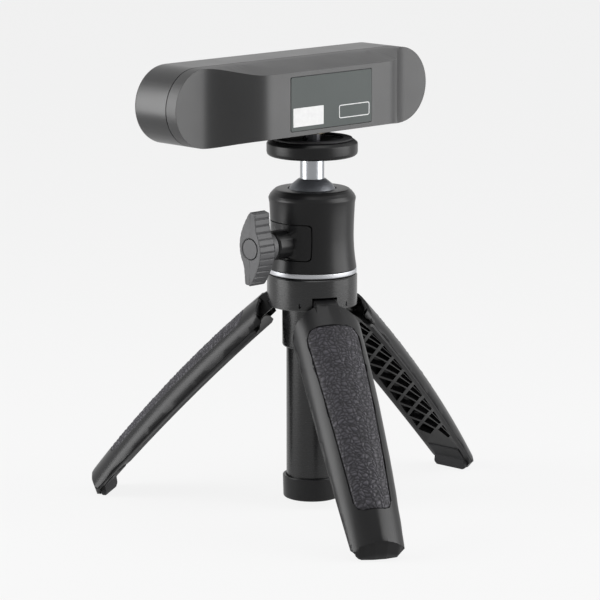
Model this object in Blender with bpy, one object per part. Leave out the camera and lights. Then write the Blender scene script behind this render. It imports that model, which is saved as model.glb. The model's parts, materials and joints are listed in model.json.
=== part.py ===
"""Bar-shaped three-d scanner on a folding pocket tripod with a ball head.

Z is up and the feet stand on z = 0.  X runs along the scanner, and its lenses look towards -Y.
Every leg is modelled once in its own frame, with u down the leg from the hinge, t across it and
v outwards, and is then hung from an empty that lies on its hinge.
"""

import bmesh
import bpy
import math
from mathutils import Matrix, Vector
from mathutils.geometry import delaunay_2d_cdt

# Gaps that separate pieces
SEAT_GAP = 0.0003
FIT_GAP = 0.00015
OVERRUN = 0.004

# Scanner housing
SCANNER_LENGTH = 0.1192
SCANNER_HEIGHT = 0.0268
SCANNER_FRONT = 0.0245
PART_LINE = 0.0083
REAR_EDGE = 0.0034
HUMP_DEPTH = 0.0095
HUMP_HALF_FLAT = 0.0305
HUMP_RAMP = 0.0155
HUMP_RELIEF = 0.0025
HOUSING_WALL = 0.0016
FRONT_FILLET = 0.0012
BEZEL_WIDTH = 0.0022
WINDOW_LEDGE = 0.0012
WINDOW_THICKNESS = 0.0011
WINDOW_RECESS = 0.0004
LABEL_LENGTH = 0.0383
LABEL_HEIGHT = 0.0183
LABEL_THICKNESS = 0.0006
LABEL_DEPTH = 0.0005
LABEL_CORNER = 0.0006

# Optics and electronics inside the scanner
CHASSIS_END_ROOM = 0.0126
CHASSIS_HEIGHT = 0.0186
CHASSIS_THICKNESS = 0.0012
CHASSIS_FLANGE = 0.004
CHASSIS_DEPTH = 0.0095
CAMERA_SPACING = 0.066
CAMERA_RADIUS = 0.0062
CAMERA_LENS_RADIUS = 0.0044
PROJECTOR_RADIUS = 0.0054
PROJECTOR_LENS_RADIUS = 0.0036
COLOUR_OFFSET = 0.0158
COLOUR_RADIUS = 0.0042
COLOUR_LENS_RADIUS = 0.0026
LIGHT_OFFSET = 0.0234
LIGHT_RADIUS = 0.0026
LIGHT_LENS_RADIUS = 0.0017
LENS_CROWN = 0.0007
LENS_STEP = 0.0008
MODULE_NOSE_GAP = 0.0006
BOARD_END_ROOM = 0.003
BOARD_HEIGHT = 0.0168
BOARD_THICKNESS = 0.0012
BOARD_STANDOFF = 0.0024
BOARD_CORNER = 0.0015
SCREW_END_ROOM = 0.006
SCREW_PITCH = 0.0122
SCREW_HEAD_RADIUS = 0.0015
SCREW_HEAD_HEIGHT = 0.0009
SCREW_SHANK_RADIUS = 0.0008
SOCKET_WIDTH = 0.0089
SOCKET_HEIGHT = 0.0032
SOCKET_LENGTH = 0.0073
SOCKET_WALL = 0.0004
SOCKET_TONGUE_WIDTH = 0.0062
SOCKET_TONGUE_HEIGHT = 0.0007
SOCKET_RECESS = 0.0007
INSERT_RADIUS = 0.0043
INSERT_LENGTH = 0.0068
INSERT_RECESS = 0.0006
BOSS_WALL = 0.0016

# Quick plate, stud and ball
PAD_RADIUS = 0.0138
PAD_THICKNESS = 0.0006
PAD_HOLE_RADIUS = 0.0106
PLATE_RADIUS = 0.0157
PLATE_TOP_RADIUS = 0.0145
PLATE_SIDE = 0.003
PLATE_BEVEL = 0.001
PLATE_ROUND = 0.0015
STUD_RADIUS = 0.003
STUD_HEAD_RADIUS = 0.0062
STUD_HEAD_HEIGHT = 0.0014
STUD_ENGAGEMENT = 0.0052
STEM_RADIUS = 0.00415
STEM_LENGTH = 0.0078
BALL_RADIUS = 0.0094
BALL_FLAT_RADIUS = 0.0048

# Ball head
MOUTH_RADIUS = 0.0084
HEAD_TOP_RADIUS = 0.0124
SHOULDER_RADIUS = 0.01505
SHOULDER_DROP = 0.0036
SHOULDER_LIP = 0.0002
HEAD_WAIST_RADIUS = 0.01436
HEAD_FOOT_RADIUS = 0.01535
HEAD_HEIGHT = 0.0274
WAIST_HEIGHT = 0.0115
HEAD_BORE_GAP = 0.0003
SEAT_THICKNESS = 0.005
SEAT_HOLE_RADIUS = 0.003
PANEL_WIDTH = 0.0206
PANEL_HEIGHT = 0.0127
PANEL_CORNER = 0.0012
PANEL_DEPTH = 0.0011
PANEL_RISE = 0.0009
KNOB_HEIGHT_ON_HEAD = 0.0095
LOCK_BOSS_RADIUS = 0.0051
LOCK_BOSS_LENGTH = 0.0055
LOCK_BOSS_BEVEL = 0.0006
CLAMP_SCREW_RADIUS = 0.002
CLAMP_SCREW_DEPTH = 0.0098
KNOB_HUB_RADIUS = 0.005
KNOB_HUB_LENGTH = 0.0023
KNOB_WING_SPAN = 0.025
KNOB_WING_THICKNESS = 0.007
KNOB_EDGE_BEVEL = 0.0005
KNOB_CAP_RADIUS = 0.0035
KNOB_CAP_DEPTH = 0.0016
BASE_FLANGE_RADIUS = 0.0126
BASE_FLANGE_HEIGHT = 0.002
BASE_SPIGOT_LENGTH = 0.009
TRIM_RADIUS = 0.0154
TRIM_HEIGHT = 0.0018
TRIM_BEVEL = 0.0003
TRIM_HOLE_RADIUS = 0.0068

# Hub and centre column
HUB_RADIUS = 0.0156
HUB_HEIGHT = 0.0109
HUB_EDGE = 0.0004
GLAND_RADIUS = 0.0098
GLAND_HEIGHT = 0.0026
NOTCH_WIDTH = 0.0088
NOTCH_HEIGHT = 0.0048
NOTCH_DEPTH = 0.0064
SLEEVE_RADIUS = 0.01035
SLEEVE_LENGTH = 0.0144
SLEEVE_ROUND = 0.0008
COLUMN_RADIUS = 0.0089
COLUMN_WALL = 0.0007
COLUMN_FLOOR_ROOM = 0.0052
CAP_RADIUS = 0.0102
CAP_TAPER = 0.0002
CAP_HEIGHT = 0.008
CAP_FLOOR = 0.0021
CAP_ROUND = 0.0007
MAST_LOWER_RADIUS = 0.0072
MAST_UPPER_RADIUS = 0.0059
MAST_WALL = 0.0006
MAST_LIP = 0.0004
MAST_LIP_LENGTH = 0.002
MAST_LOWER_INSET = 0.0035
MAST_UPPER_INSET = 0.0025
MAST_BUSH_LENGTH = 0.008

# Legs
LEG_FIRST_ANGLE = math.radians(62.5)
LEG_SPREAD = math.radians(40.0)
LEG_NAMES = ("front", "right", "left")
HINGE_RADIUS = 0.0123
HINGE_RISE = 0.0019
LEG_LENGTH = 0.097
FOOT_LINE = 0.00174
LEG_HALF_WIDTH = 0.01225
LEG_FOOT_HALF_WIDTH = 0.009
LEG_ARCH_CENTRE = 0.012
LEG_ARCH_RISE = 0.0094
CROWN_HEIGHT = 0.0101
CROWN_PLACE = 0.071
CROWN_ARC_RADIUS = 0.45
INNER_EDGE_TOP = -0.00544
INNER_EDGE_TIP = 0.00225
INNER_EDGE_BOW = 0.0017
SEAM_TOP = -0.00303
SEAM_TIP = 0.00357
SEAM_BOW = 0.00097
RAIL_SIDE_SHARE = 0.45
SHELL_WALL = 0.0015
LUG_RADIUS = 0.0026
LUG_WIDTH = 0.0082
LUG_RELIEF_SHARE = 0.6
TONGUE_HEIGHT = 0.004
PIN_RADIUS = 0.001
PIN_LENGTH = 0.0166
CHANNEL_RADIUS = 0.0205
MOUTH_INSET = 0.0012
RAIL_WIDTH = 0.001
WEB_THICKNESS = 0.002
LATTICE_START = 0.0125
LATTICE_END_ROOM = 0.0125
LATTICE_PITCH = 0.0078
LATTICE_ASPECT = 1.1
LATTICE_RIB = 0.0011
LATTICE_MARGIN = 0.0006
FRAME_START = 0.0088
TIP_OVERHANG = 0.00505
TIP_FACE_HEIGHT = 0.0056
TIP_FACE_LEAN = 0.0021
TIP_BEVEL = 0.0016
TIP_PLAN_RADIUS = 0.017
TIP_WALL = 0.0016
TIP_FLAT_HALF = 0.0062
TIP_SIDE_SLOPE_SHARE = 1.0
SHELL_GROUND_GAP = 0.0004
GRIP_START = 0.0112
GRIP_END_ROOM = 0.0147
GRIP_TOP_HALF = 0.0092
GRIP_FOOT_HALF = 0.0062
GRIP_TOP_ROUND = 0.0045
GRIP_FOOT_ROUND = 0.003
GRIP_THICKNESS = 0.0006
GRIP_GAP = 0.0002
FOOT_LENGTH = 0.0102
FOOT_HALF_WIDTH = 0.0072
FOOT_TOP = 0.0042
FOOT_TOE_LENGTH = 0.0046
FOOT_BUMP = 0.0016
FOOT_SOLE_LENGTH = 0.0064
FOOT_TOE = 0.0014

# Facets
ROUND_STEPS = 28
SMALL_STEPS = 14
TINY_STEPS = 10
END_STEPS = 12
RAMP_STEPS = 8
CORNER_STEPS = 3
ARCH_STEPS = 10
INNER_ARCH_STEPS = 7
LEG_STATIONS = 8
GRIP_COLUMNS = 4
CHORD_EXPONENT = 1.9
CHORD_EXPONENT_LOSS = 0.45
SHARP_EDGE = math.radians(35)
FLATNESS = math.radians(0.05)

# Lengths that follow from the sizes above
CHASSIS_LENGTH = SCANNER_LENGTH - 2 * CHASSIS_END_ROOM
BOARD_LENGTH = CHASSIS_LENGTH - 2 * BOARD_END_ROOM
SCREW_SPAN = CHASSIS_LENGTH - 2 * SCREW_END_ROOM
LATTICE_END = LEG_LENGTH - LATTICE_END_ROOM
GRIP_END = LEG_LENGTH - GRIP_END_ROOM
FOOT_START = LEG_LENGTH - FOOT_LENGTH
FOOT_BUMP_START = LEG_LENGTH - FOOT_TOE_LENGTH
TIP_REACH = HINGE_RADIUS + LEG_LENGTH * math.sin(LEG_SPREAD) + TIP_OVERHANG
FOOT_SOLE_REACH = TIP_REACH - FOOT_SOLE_LENGTH

# Heights that follow from the sizes above
HINGE_HEIGHT = LEG_LENGTH * math.cos(LEG_SPREAD) - FOOT_LINE * math.sin(LEG_SPREAD)
HUB_BOTTOM = HINGE_HEIGHT - HINGE_RISE
HUB_TOP = HUB_BOTTOM + HUB_HEIGHT
TRIM_BOTTOM = HUB_TOP + SEAT_GAP
TRIM_TOP = TRIM_BOTTOM + TRIM_HEIGHT
HEAD_BOTTOM = TRIM_TOP + SEAT_GAP / 2
HEAD_TOP = HEAD_BOTTOM + HEAD_HEIGHT
KNOB_LEVEL = HEAD_BOTTOM + KNOB_HEIGHT_ON_HEAD
HEAD_BORE = BALL_RADIUS + HEAD_BORE_GAP
BALL_LEVEL = HEAD_TOP - math.sqrt(HEAD_BORE ** 2 - MOUTH_RADIUS ** 2)
BALL_FLAT_LEVEL = BALL_LEVEL + math.sqrt(BALL_RADIUS ** 2 - BALL_FLAT_RADIUS ** 2)
STEM_BOTTOM = BALL_FLAT_LEVEL + SEAT_GAP / 2
STEM_TOP = STEM_BOTTOM + STEM_LENGTH
PLATE_BOTTOM = STEM_TOP + SEAT_GAP / 2
PLATE_RIM_TOP = PLATE_BOTTOM + PLATE_ROUND + PLATE_SIDE
PLATE_TOP = PLATE_RIM_TOP + PLATE_BEVEL
PAD_TOP = PLATE_TOP + SEAT_GAP / 2 + PAD_THICKNESS
SCANNER_BOTTOM = PAD_TOP + SEAT_GAP
SCANNER_LEVEL = SCANNER_BOTTOM + SCANNER_HEIGHT / 2
SLEEVE_TOP = HUB_BOTTOM - SEAT_GAP / 2
SLEEVE_BOTTOM = SLEEVE_TOP - SLEEVE_LENGTH
COLUMN_TOP = HUB_BOTTOM - SEAT_GAP
COLUMN_BOTTOM = COLUMN_FLOOR_ROOM
CAP_BOTTOM = COLUMN_BOTTOM - SEAT_GAP / 2 - CAP_FLOOR
COLUMN_BORE = COLUMN_RADIUS - COLUMN_WALL
MAST_LOWER_BORE = MAST_LOWER_RADIUS - MAST_WALL
MAST_UPPER_BORE = MAST_UPPER_RADIUS - MAST_WALL
HUB_BORE = MAST_LOWER_RADIUS + SEAT_GAP

FLAT = Matrix.Identity(4)
TOWARDS_X = Matrix(((0, 0, 1, 0), (1, 0, 0, 0), (0, 1, 0, 0), (0, 0, 0, 1)))
TOWARDS_Y = Matrix(((1, 0, 0, 0), (0, 0, 1, 0), (0, -1, 0, 0), (0, 0, 0, 1)))
LEG_SIDE = Matrix(((1, 0, 0, 0), (0, 0, -1, 0), (0, 1, 0, 0), (0, 0, 0, 1)))


def clear_scene():
    for thing in list(bpy.data.objects):
        bpy.data.objects.remove(thing, do_unlink=True)


def material(name, colour, roughness, metallic=0.0):
    """A Principled material in one plain colour."""
    made = bpy.data.materials.new(name)
    made.use_nodes = True
    shader = made.node_tree.nodes["Principled BSDF"]
    shader.inputs["Base Color"].default_value = (*colour, 1.0)
    shader.inputs["Roughness"].default_value = roughness
    shader.inputs["Metallic"].default_value = metallic
    made.diffuse_color = (*colour, 1.0)
    return made


def solid(name, mesh_data, finish):
    """Turns a closed bmesh into a named object with its faces outward and round faces smooth."""
    bmesh.ops.recalc_face_normals(mesh_data, faces=mesh_data.faces)
    if mesh_data.calc_volume(signed=True) < 0:
        bmesh.ops.reverse_faces(mesh_data, faces=mesh_data.faces)
    mesh = bpy.data.meshes.new(name)
    mesh_data.to_mesh(mesh)
    mesh_data.free()
    mesh.materials.append(finish)
    mesh.shade_smooth()
    mesh.set_sharp_from_angle(angle=SHARP_EDGE)
    thing = bpy.data.objects.new(name, mesh)
    bpy.context.scene.collection.objects.link(thing)
    return thing


def combine(target, tool, operation="DIFFERENCE", keep_tool=False):
    """Applies an exact boolean of the tool to the target."""
    step = target.modifiers.new(operation.title(), "BOOLEAN")
    step.operation = operation
    step.solver = "EXACT"
    step.object = tool
    bpy.context.view_layer.update()
    graph = bpy.context.evaluated_depsgraph_get()
    mesh = bpy.data.meshes.new_from_object(target.evaluated_get(graph))
    target.modifiers.clear()
    old = target.data
    mesh.name = old.name
    target.data = mesh
    mesh.set_sharp_from_angle(angle=SHARP_EDGE)
    bpy.data.meshes.remove(old)
    if not keep_tool:
        bpy.data.objects.remove(tool, do_unlink=True)
    return target


def faces_between(mesh_data, first, second):
    """Joins two rings of corners, either of which may be one point."""
    steps = max(len(first), len(second))
    if steps == 1:
        return
    for i in range(steps):
        j = (i + 1) % steps
        corners = [first[i % len(first)], first[j % len(first)]]
        corners += [second[j % len(second)], second[i % len(second)]]
        mesh_data.faces.new(list(dict.fromkeys(corners)))


def turned(name, profile, finish, steps=ROUND_STEPS, frame=FLAT):
    """A section of (radius, height) points, turned once round the frame's third axis."""
    mesh_data = bmesh.new()
    rings = []
    for radius, height in profile:
        spots = [(0.0, 0.0)]
        if radius > 0:
            turns = [2 * math.pi * i / steps for i in range(steps)]
            spots = [(radius * math.cos(a), radius * math.sin(a)) for a in turns]
        rings.append([mesh_data.verts.new(frame @ Vector((x, y, height))) for x, y in spots])
    for first, second in zip(rings, rings[1:] + rings[:1]):
        faces_between(mesh_data, first, second)
    return solid(name, mesh_data, finish)


def lofted(name, sections, finish):
    """A skin over equal rings of points, closed by a flat face at each end."""
    mesh_data = bmesh.new()
    rings = [[mesh_data.verts.new(point) for point in section] for section in sections]
    for first, second in zip(rings, rings[1:]):
        faces_between(mesh_data, first, second)
    bmesh.ops.connect_verts_nonplanar(mesh_data, angle_limit=FLATNESS, faces=mesh_data.faces)
    mesh_data.faces.new(rings[0])
    mesh_data.faces.new(rings[-1])
    return solid(name, mesh_data, finish)


def prism(name, outline, low, high, finish, frame=FLAT):
    """A flat outline, pushed from low to high along the frame's third axis."""
    ends = [[frame @ Vector((p, q, h)) for p, q in outline] for h in (low, high)]
    return lofted(name, ends, finish)


def arc(centre, radius, start, end, steps):
    """Points on a circle, ends included, angles in turns of the full circle."""
    turns = [2 * math.pi * (start + (end - start) * i / steps) for i in range(steps + 1)]
    return [(centre[0] + radius * math.cos(a), centre[1] + radius * math.sin(a)) for a in turns]


def rounded_rectangle(width, height, radius):
    """A rectangle with round corners, centred on zero."""
    x, y = width / 2 - radius, height / 2 - radius
    points = arc((x, y), radius, 0.0, 0.25, CORNER_STEPS)
    points += arc((-x, y), radius, 0.25, 0.5, CORNER_STEPS)
    points += arc((-x, -y), radius, 0.5, 0.75, CORNER_STEPS)
    points += arc((x, -y), radius, 0.75, 1.0, CORNER_STEPS)
    return points


def obround(length, height, steps=END_STEPS):
    """A bar with two half-round ends, centred on zero."""
    reach = (length - height) / 2
    points = arc((reach, 0), height / 2, -0.25, 0.25, steps)
    return points + arc((-reach, 0), height / 2, 0.25, 0.75, steps)


def scanner_section(inset, y):
    """The scanner's obround at depth y, drawn in by the inset all round."""
    outline = obround(SCANNER_LENGTH - 2 * inset, SCANNER_HEIGHT - 2 * inset)
    return [Vector((x, y, SCANNER_LEVEL + z)) for x, z in outline]


def hump_outline(inset):
    """Plan of the scanner behind its part line: thin ends and a middle that swells to the rear."""
    half = SCANNER_LENGTH / 2 + OVERRUN
    rise = HUMP_DEPTH + REAR_EDGE
    side = []
    for i in range(RAMP_STEPS + 1):
        share = i / RAMP_STEPS
        swell = share ** 2 * (3 - 2 * share)
        x = HUMP_HALF_FLAT + HUMP_RAMP * (1 - share) - inset
        side.append((x, -REAR_EDGE - inset + rise * swell))
    outline = [(half, -PART_LINE - OVERRUN), (half, -REAR_EDGE - inset)] + side
    return outline + [(-x, y) for x, y in reversed(outline)]


def rear_form(name, inset, front, finish):
    """The rear cover's outer form, or its hollow when drawn in by an inset."""
    slope = HUMP_RELIEF / (HUMP_DEPTH + REAR_EDGE)
    back = HUMP_DEPTH + OVERRUN
    stations = ((inset, front), (inset, -REAR_EDGE), (inset + slope * (back + REAR_EDGE), back))
    form = lofted(name, [scanner_section(draw, y) for draw, y in stations], finish)
    height = SCANNER_LEVEL + SCANNER_HEIGHT
    plan = prism("plan", hump_outline(inset), SCANNER_LEVEL - SCANNER_HEIGHT, height, finish)
    return combine(form, plan, "INTERSECT")


def make_rear_cover(finish):
    """The rear shell with the screw boss, the label's recess and its hollow."""
    front = -PART_LINE + SEAT_GAP / 2
    cover = rear_form("rear_cover", 0.0, front, finish)
    hollow = rear_form("hollow", HOUSING_WALL, -PART_LINE - OVERRUN, finish)
    bore = INSERT_RADIUS + FIT_GAP
    post_top = SCANNER_BOTTOM + INSERT_RECESS + INSERT_LENGTH + SEAT_GAP
    post = [(0, SCANNER_BOTTOM - OVERRUN), (bore + BOSS_WALL, SCANNER_BOTTOM - OVERRUN)]
    post += [(bore + BOSS_WALL, post_top), (0, post_top)]
    combine(hollow, turned("post", post, finish, SMALL_STEPS))
    combine(cover, hollow)
    hole = [(0, SCANNER_BOTTOM - OVERRUN), (bore, SCANNER_BOTTOM - OVERRUN)]
    hole += [(bore, post_top + OVERRUN), (0, post_top + OVERRUN)]
    combine(cover, turned("hole", hole, finish, SMALL_STEPS))
    edge = rounded_rectangle(LABEL_LENGTH + 2 * FIT_GAP, LABEL_HEIGHT + 2 * FIT_GAP, LABEL_CORNER)
    low, high = HUMP_DEPTH - LABEL_DEPTH - FIT_GAP, HUMP_DEPTH + OVERRUN
    recess = prism("recess", edge, low, high, finish, rear_frame())
    return combine(cover, recess)


def rear_frame():
    """A frame on the scanner's middle whose third axis points to +Y."""
    return Matrix.Translation((0, 0, SCANNER_LEVEL)) @ TOWARDS_Y


def make_label(finish):
    edge = rounded_rectangle(LABEL_LENGTH, LABEL_HEIGHT, LABEL_CORNER)
    low = HUMP_DEPTH - LABEL_DEPTH
    return prism("label_plate", edge, low, low + LABEL_THICKNESS, finish, rear_frame())


def make_front_housing(finish):
    """The front shell: a tray with a ledge for the window and a notch for the socket."""
    back = -PART_LINE - SEAT_GAP / 2
    nose = -SCANNER_FRONT
    fillet = [(FRONT_FILLET * (1 - math.cos(a)), nose + FRONT_FILLET * (1 - math.sin(a)))
              for a in (math.pi / 2 * i / CORNER_STEPS for i in range(CORNER_STEPS + 1))]
    stations = [(0.0, back)] + fillet
    housing = lofted("front_housing", [scanner_section(d, y) for d, y in stations], finish)
    ledge = WINDOW_RECESS + WINDOW_THICKNESS + FIT_GAP
    opening = BEZEL_WIDTH + WINDOW_LEDGE
    wall = nose + ledge + HOUSING_WALL
    steps = ((BEZEL_WIDTH - FIT_GAP, nose - OVERRUN), (BEZEL_WIDTH - FIT_GAP, nose + ledge),
             (opening, nose + ledge), (opening, wall), (HOUSING_WALL, wall),
             (HOUSING_WALL, back + OVERRUN))
    combine(housing, lofted("tray", [scanner_section(d, y) for d, y in steps], finish))
    mouth = obround(SOCKET_WIDTH + 2 * FIT_GAP, SOCKET_HEIGHT + 2 * FIT_GAP, TINY_STEPS // 2)
    reach = -SCANNER_LENGTH / 2
    cut = prism("mouth", mouth, reach - OVERRUN, reach + SOCKET_LENGTH, finish, socket_frame())
    return combine(housing, cut)


def socket_frame():
    """A frame at the socket whose third axis is X and whose first axis is Y."""
    middle = -(SCANNER_FRONT + PART_LINE) / 2
    return Matrix.Translation((0, middle, SCANNER_LEVEL)) @ TOWARDS_X


def make_socket(finish):
    """A data socket: a thin metal mouth with a tongue standing from its back wall."""
    start = -SCANNER_LENGTH / 2 + SOCKET_RECESS
    end = start + SOCKET_LENGTH
    rim = obround(SOCKET_WIDTH, SOCKET_HEIGHT, TINY_STEPS // 2)
    inner = obround(SOCKET_WIDTH - 2 * SOCKET_WALL, SOCKET_HEIGHT - 2 * SOCKET_WALL, TINY_STEPS // 2)
    socket = prism("data_socket", rim, start, end, finish, socket_frame())
    back = end - 2 * SOCKET_WALL
    combine(socket, prism("throat", inner, start - OVERRUN, back, finish, socket_frame()))
    tongue = rounded_rectangle(SOCKET_TONGUE_WIDTH, SOCKET_TONGUE_HEIGHT, SOCKET_TONGUE_HEIGHT / 4)
    bar = prism("tongue", tongue, start + SOCKET_RECESS, end - SOCKET_WALL, finish, socket_frame())
    return combine(socket, bar, "UNION")


def make_window(finish):
    start = -SCANNER_FRONT + WINDOW_RECESS
    sections = [scanner_section(BEZEL_WIDTH, y) for y in (start, start + WINDOW_THICKNESS)]
    return lofted("front_window", sections, finish)


def module_front():
    """Where the lens barrels end, just behind the window."""
    return -SCANNER_FRONT + WINDOW_RECESS + WINDOW_THICKNESS + MODULE_NOSE_GAP


def chassis_front():
    return module_front() + CHASSIS_DEPTH


def make_optic(name, x, radius, lens_radius, finish):
    """A lens barrel that looks to -Y: a stepped tube with a crowned lens, seated on the chassis."""
    frame = Matrix.Translation((x, 0, SCANNER_LEVEL)) @ TOWARDS_Y
    nose = module_front()
    tail = chassis_front() - SEAT_GAP
    throat = nose + LENS_STEP
    profile = [(0, throat - LENS_CROWN / 2), (lens_radius * 0.7, throat - LENS_CROWN / 3),
               (lens_radius, throat), ((radius + lens_radius) / 2, nose), (radius, nose),
               (radius, tail), (0, tail)]
    return turned(name, profile, finish, SMALL_STEPS, frame)


def make_chassis(finish):
    """A folded sheet tray that the optics and the board are fixed to."""
    t, x, z = CHASSIS_THICKNESS, CHASSIS_LENGTH / 2, CHASSIS_HEIGHT / 2
    front = chassis_front()
    section = [(front, z - t), (front, -z + t), (front - CHASSIS_FLANGE, -z + t)]
    section += [(front - CHASSIS_FLANGE, -z), (front + t, -z), (front + t, z)]
    section += [(front - CHASSIS_FLANGE, z), (front - CHASSIS_FLANGE, z - t)]
    frame = Matrix.Translation((0, 0, SCANNER_LEVEL)) @ TOWARDS_X
    chassis = prism("optics_chassis", section, -x, x, finish, frame)
    for sx in (-1, 1):
        for sz in (-1, 1):
            place = screw_frame(sx, sz)
            hole = [(0, -OVERRUN), (SCREW_SHANK_RADIUS + FIT_GAP, -OVERRUN)]
            hole += [(SCREW_SHANK_RADIUS + FIT_GAP, OVERRUN), (0, OVERRUN)]
            combine(chassis, turned("hole", hole, finish, TINY_STEPS, place))
    return chassis


def screw_frame(side, level):
    """A frame on the chassis's rear face at one corner screw, third axis to +Y."""
    rear = chassis_front() + CHASSIS_THICKNESS
    place = (side * SCREW_SPAN / 2, rear, SCANNER_LEVEL + level * SCREW_PITCH / 2)
    return Matrix.Translation(place) @ TOWARDS_Y


def board_front():
    return chassis_front() + CHASSIS_THICKNESS + BOARD_STANDOFF


def make_board(finish):
    """The main board, which stands off the chassis on its corner screws."""
    edge = rounded_rectangle(BOARD_LENGTH, BOARD_HEIGHT, BOARD_CORNER)
    low = board_front()
    board = prism("circuit_board", edge, low, low + BOARD_THICKNESS, finish, rear_frame())
    for sx in (-1, 1):
        for sz in (-1, 1):
            hole = [(0, -OVERRUN), (SCREW_SHANK_RADIUS + FIT_GAP, -OVERRUN)]
            hole += [(SCREW_SHANK_RADIUS + FIT_GAP, 2 * OVERRUN), (0, 2 * OVERRUN)]
            combine(board, turned("hole", hole, finish, TINY_STEPS, screw_frame(sx, sz)))
    return board


def make_screws(finish):
    """Four corner screws that hold the board and the chassis together."""
    top = BOARD_STANDOFF + BOARD_THICKNESS + SEAT_GAP / 2
    tip = -CHASSIS_THICKNESS - SEAT_GAP / 2
    profile = [(0, tip), (SCREW_SHANK_RADIUS, tip), (SCREW_SHANK_RADIUS, top)]
    profile += [(SCREW_HEAD_RADIUS, top), (SCREW_HEAD_RADIUS, top + SCREW_HEAD_HEIGHT)]
    profile += [(0, top + SCREW_HEAD_HEIGHT)]
    corners = (("upper_left", 1, 1), ("upper_right", -1, 1), ("lower_left", 1, -1), ("lower_right", -1, -1))
    return [turned(f"chassis_screw_{word}", profile, finish, TINY_STEPS, screw_frame(sx, sz))
            for word, sx, sz in corners]


def make_insert(finish):
    """The threaded brass insert in the scanner's floor, its thread left as a plain bore."""
    low = SCANNER_BOTTOM + INSERT_RECESS + HUMP_RELIEF / 4
    high = SCANNER_BOTTOM + INSERT_RECESS + INSERT_LENGTH
    bore = STUD_RADIUS + FIT_GAP
    profile = [(bore, low), (INSERT_RADIUS, low), (INSERT_RADIUS, high), (bore, high)]
    return turned("thread_insert", profile, finish, SMALL_STEPS)


def make_scanner(looks):
    nose = CAMERA_SPACING / 2
    pieces = [make_front_housing(looks["housing"]), make_rear_cover(looks["cover"]),
              make_label(looks["label"]), make_window(looks["window"]),
              make_chassis(looks["sheet"]), make_board(looks["board"]),
              make_socket(looks["bright"]), make_insert(looks["brass"])]
    pieces += [make_optic("left_camera", nose, CAMERA_RADIUS, CAMERA_LENS_RADIUS, looks["lens"]),
               make_optic("right_camera", -nose, CAMERA_RADIUS, CAMERA_LENS_RADIUS, looks["lens"]),
               make_optic("pattern_projector", 0.0, PROJECTOR_RADIUS, PROJECTOR_LENS_RADIUS,
                          looks["lens"]),
               make_optic("colour_camera", COLOUR_OFFSET, COLOUR_RADIUS, COLOUR_LENS_RADIUS,
                          looks["lens"]),
               make_optic("fill_light_left", LIGHT_OFFSET, LIGHT_RADIUS, LIGHT_LENS_RADIUS,
                          looks["lamp"]),
               make_optic("fill_light_right", -LIGHT_OFFSET, LIGHT_RADIUS, LIGHT_LENS_RADIUS,
                          looks["lamp"])]
    return pieces + make_screws(looks["bright"])


def make_plate(looks):
    """The round plate under the scanner, its rubber pad, its stud and the stem below."""
    hole = STUD_RADIUS + FIT_GAP
    rounding = arc((PLATE_RADIUS - PLATE_ROUND, PLATE_BOTTOM + PLATE_ROUND), PLATE_ROUND,
                   -0.25, 0.0, CORNER_STEPS)
    pocket = STUD_HEAD_RADIUS + FIT_GAP
    pocket_top = PLATE_BOTTOM + STUD_HEAD_HEIGHT + SEAT_GAP
    profile = [(hole, pocket_top), (pocket, pocket_top), (pocket, PLATE_BOTTOM)] + rounding
    profile += [(PLATE_RADIUS, PLATE_RIM_TOP), (PLATE_TOP_RADIUS, PLATE_TOP), (hole, PLATE_TOP)]
    plate = turned("top_plate", profile, looks["head"])
    low = PLATE_TOP + SEAT_GAP / 2
    ring = [(PAD_HOLE_RADIUS, low), (PAD_RADIUS, low), (PAD_RADIUS, PAD_TOP), (PAD_HOLE_RADIUS, PAD_TOP)]
    pad = turned("plate_pad", ring, looks["rubber"])
    head = PLATE_BOTTOM + SEAT_GAP / 2
    tip = SCANNER_BOTTOM + INSERT_RECESS + STUD_ENGAGEMENT
    stud = [(0, head), (STUD_HEAD_RADIUS, head), (STUD_HEAD_RADIUS, head + STUD_HEAD_HEIGHT)]
    stud += [(STUD_RADIUS, head + STUD_HEAD_HEIGHT), (STUD_RADIUS, tip - STUD_RADIUS / 4)]
    stud += [(STUD_RADIUS * 0.8, tip), (0, tip)]
    screw = turned("mounting_screw", stud, looks["bright"], SMALL_STEPS)
    rod = [(0, STEM_BOTTOM), (STEM_RADIUS, STEM_BOTTOM), (STEM_RADIUS, STEM_TOP), (0, STEM_TOP)]
    stem = turned("ball_stem", rod, looks["bright"])
    return [plate, pad, screw, stem]


def make_ball(finish):
    """The ball, with the flat on top that the stem stands on."""
    top = math.asin(BALL_FLAT_LEVEL / BALL_RADIUS - BALL_LEVEL / BALL_RADIUS)
    bands = ROUND_STEPS // 3
    turns = [-math.pi / 2 + (top + math.pi / 2) * i / bands for i in range(1, bands + 1)]
    profile = [(0, BALL_LEVEL - BALL_RADIUS)]
    profile += [(BALL_RADIUS * math.cos(a), BALL_LEVEL + BALL_RADIUS * math.sin(a)) for a in turns]
    return turned("ball", profile + [(0, BALL_FLAT_LEVEL)], finish)


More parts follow.
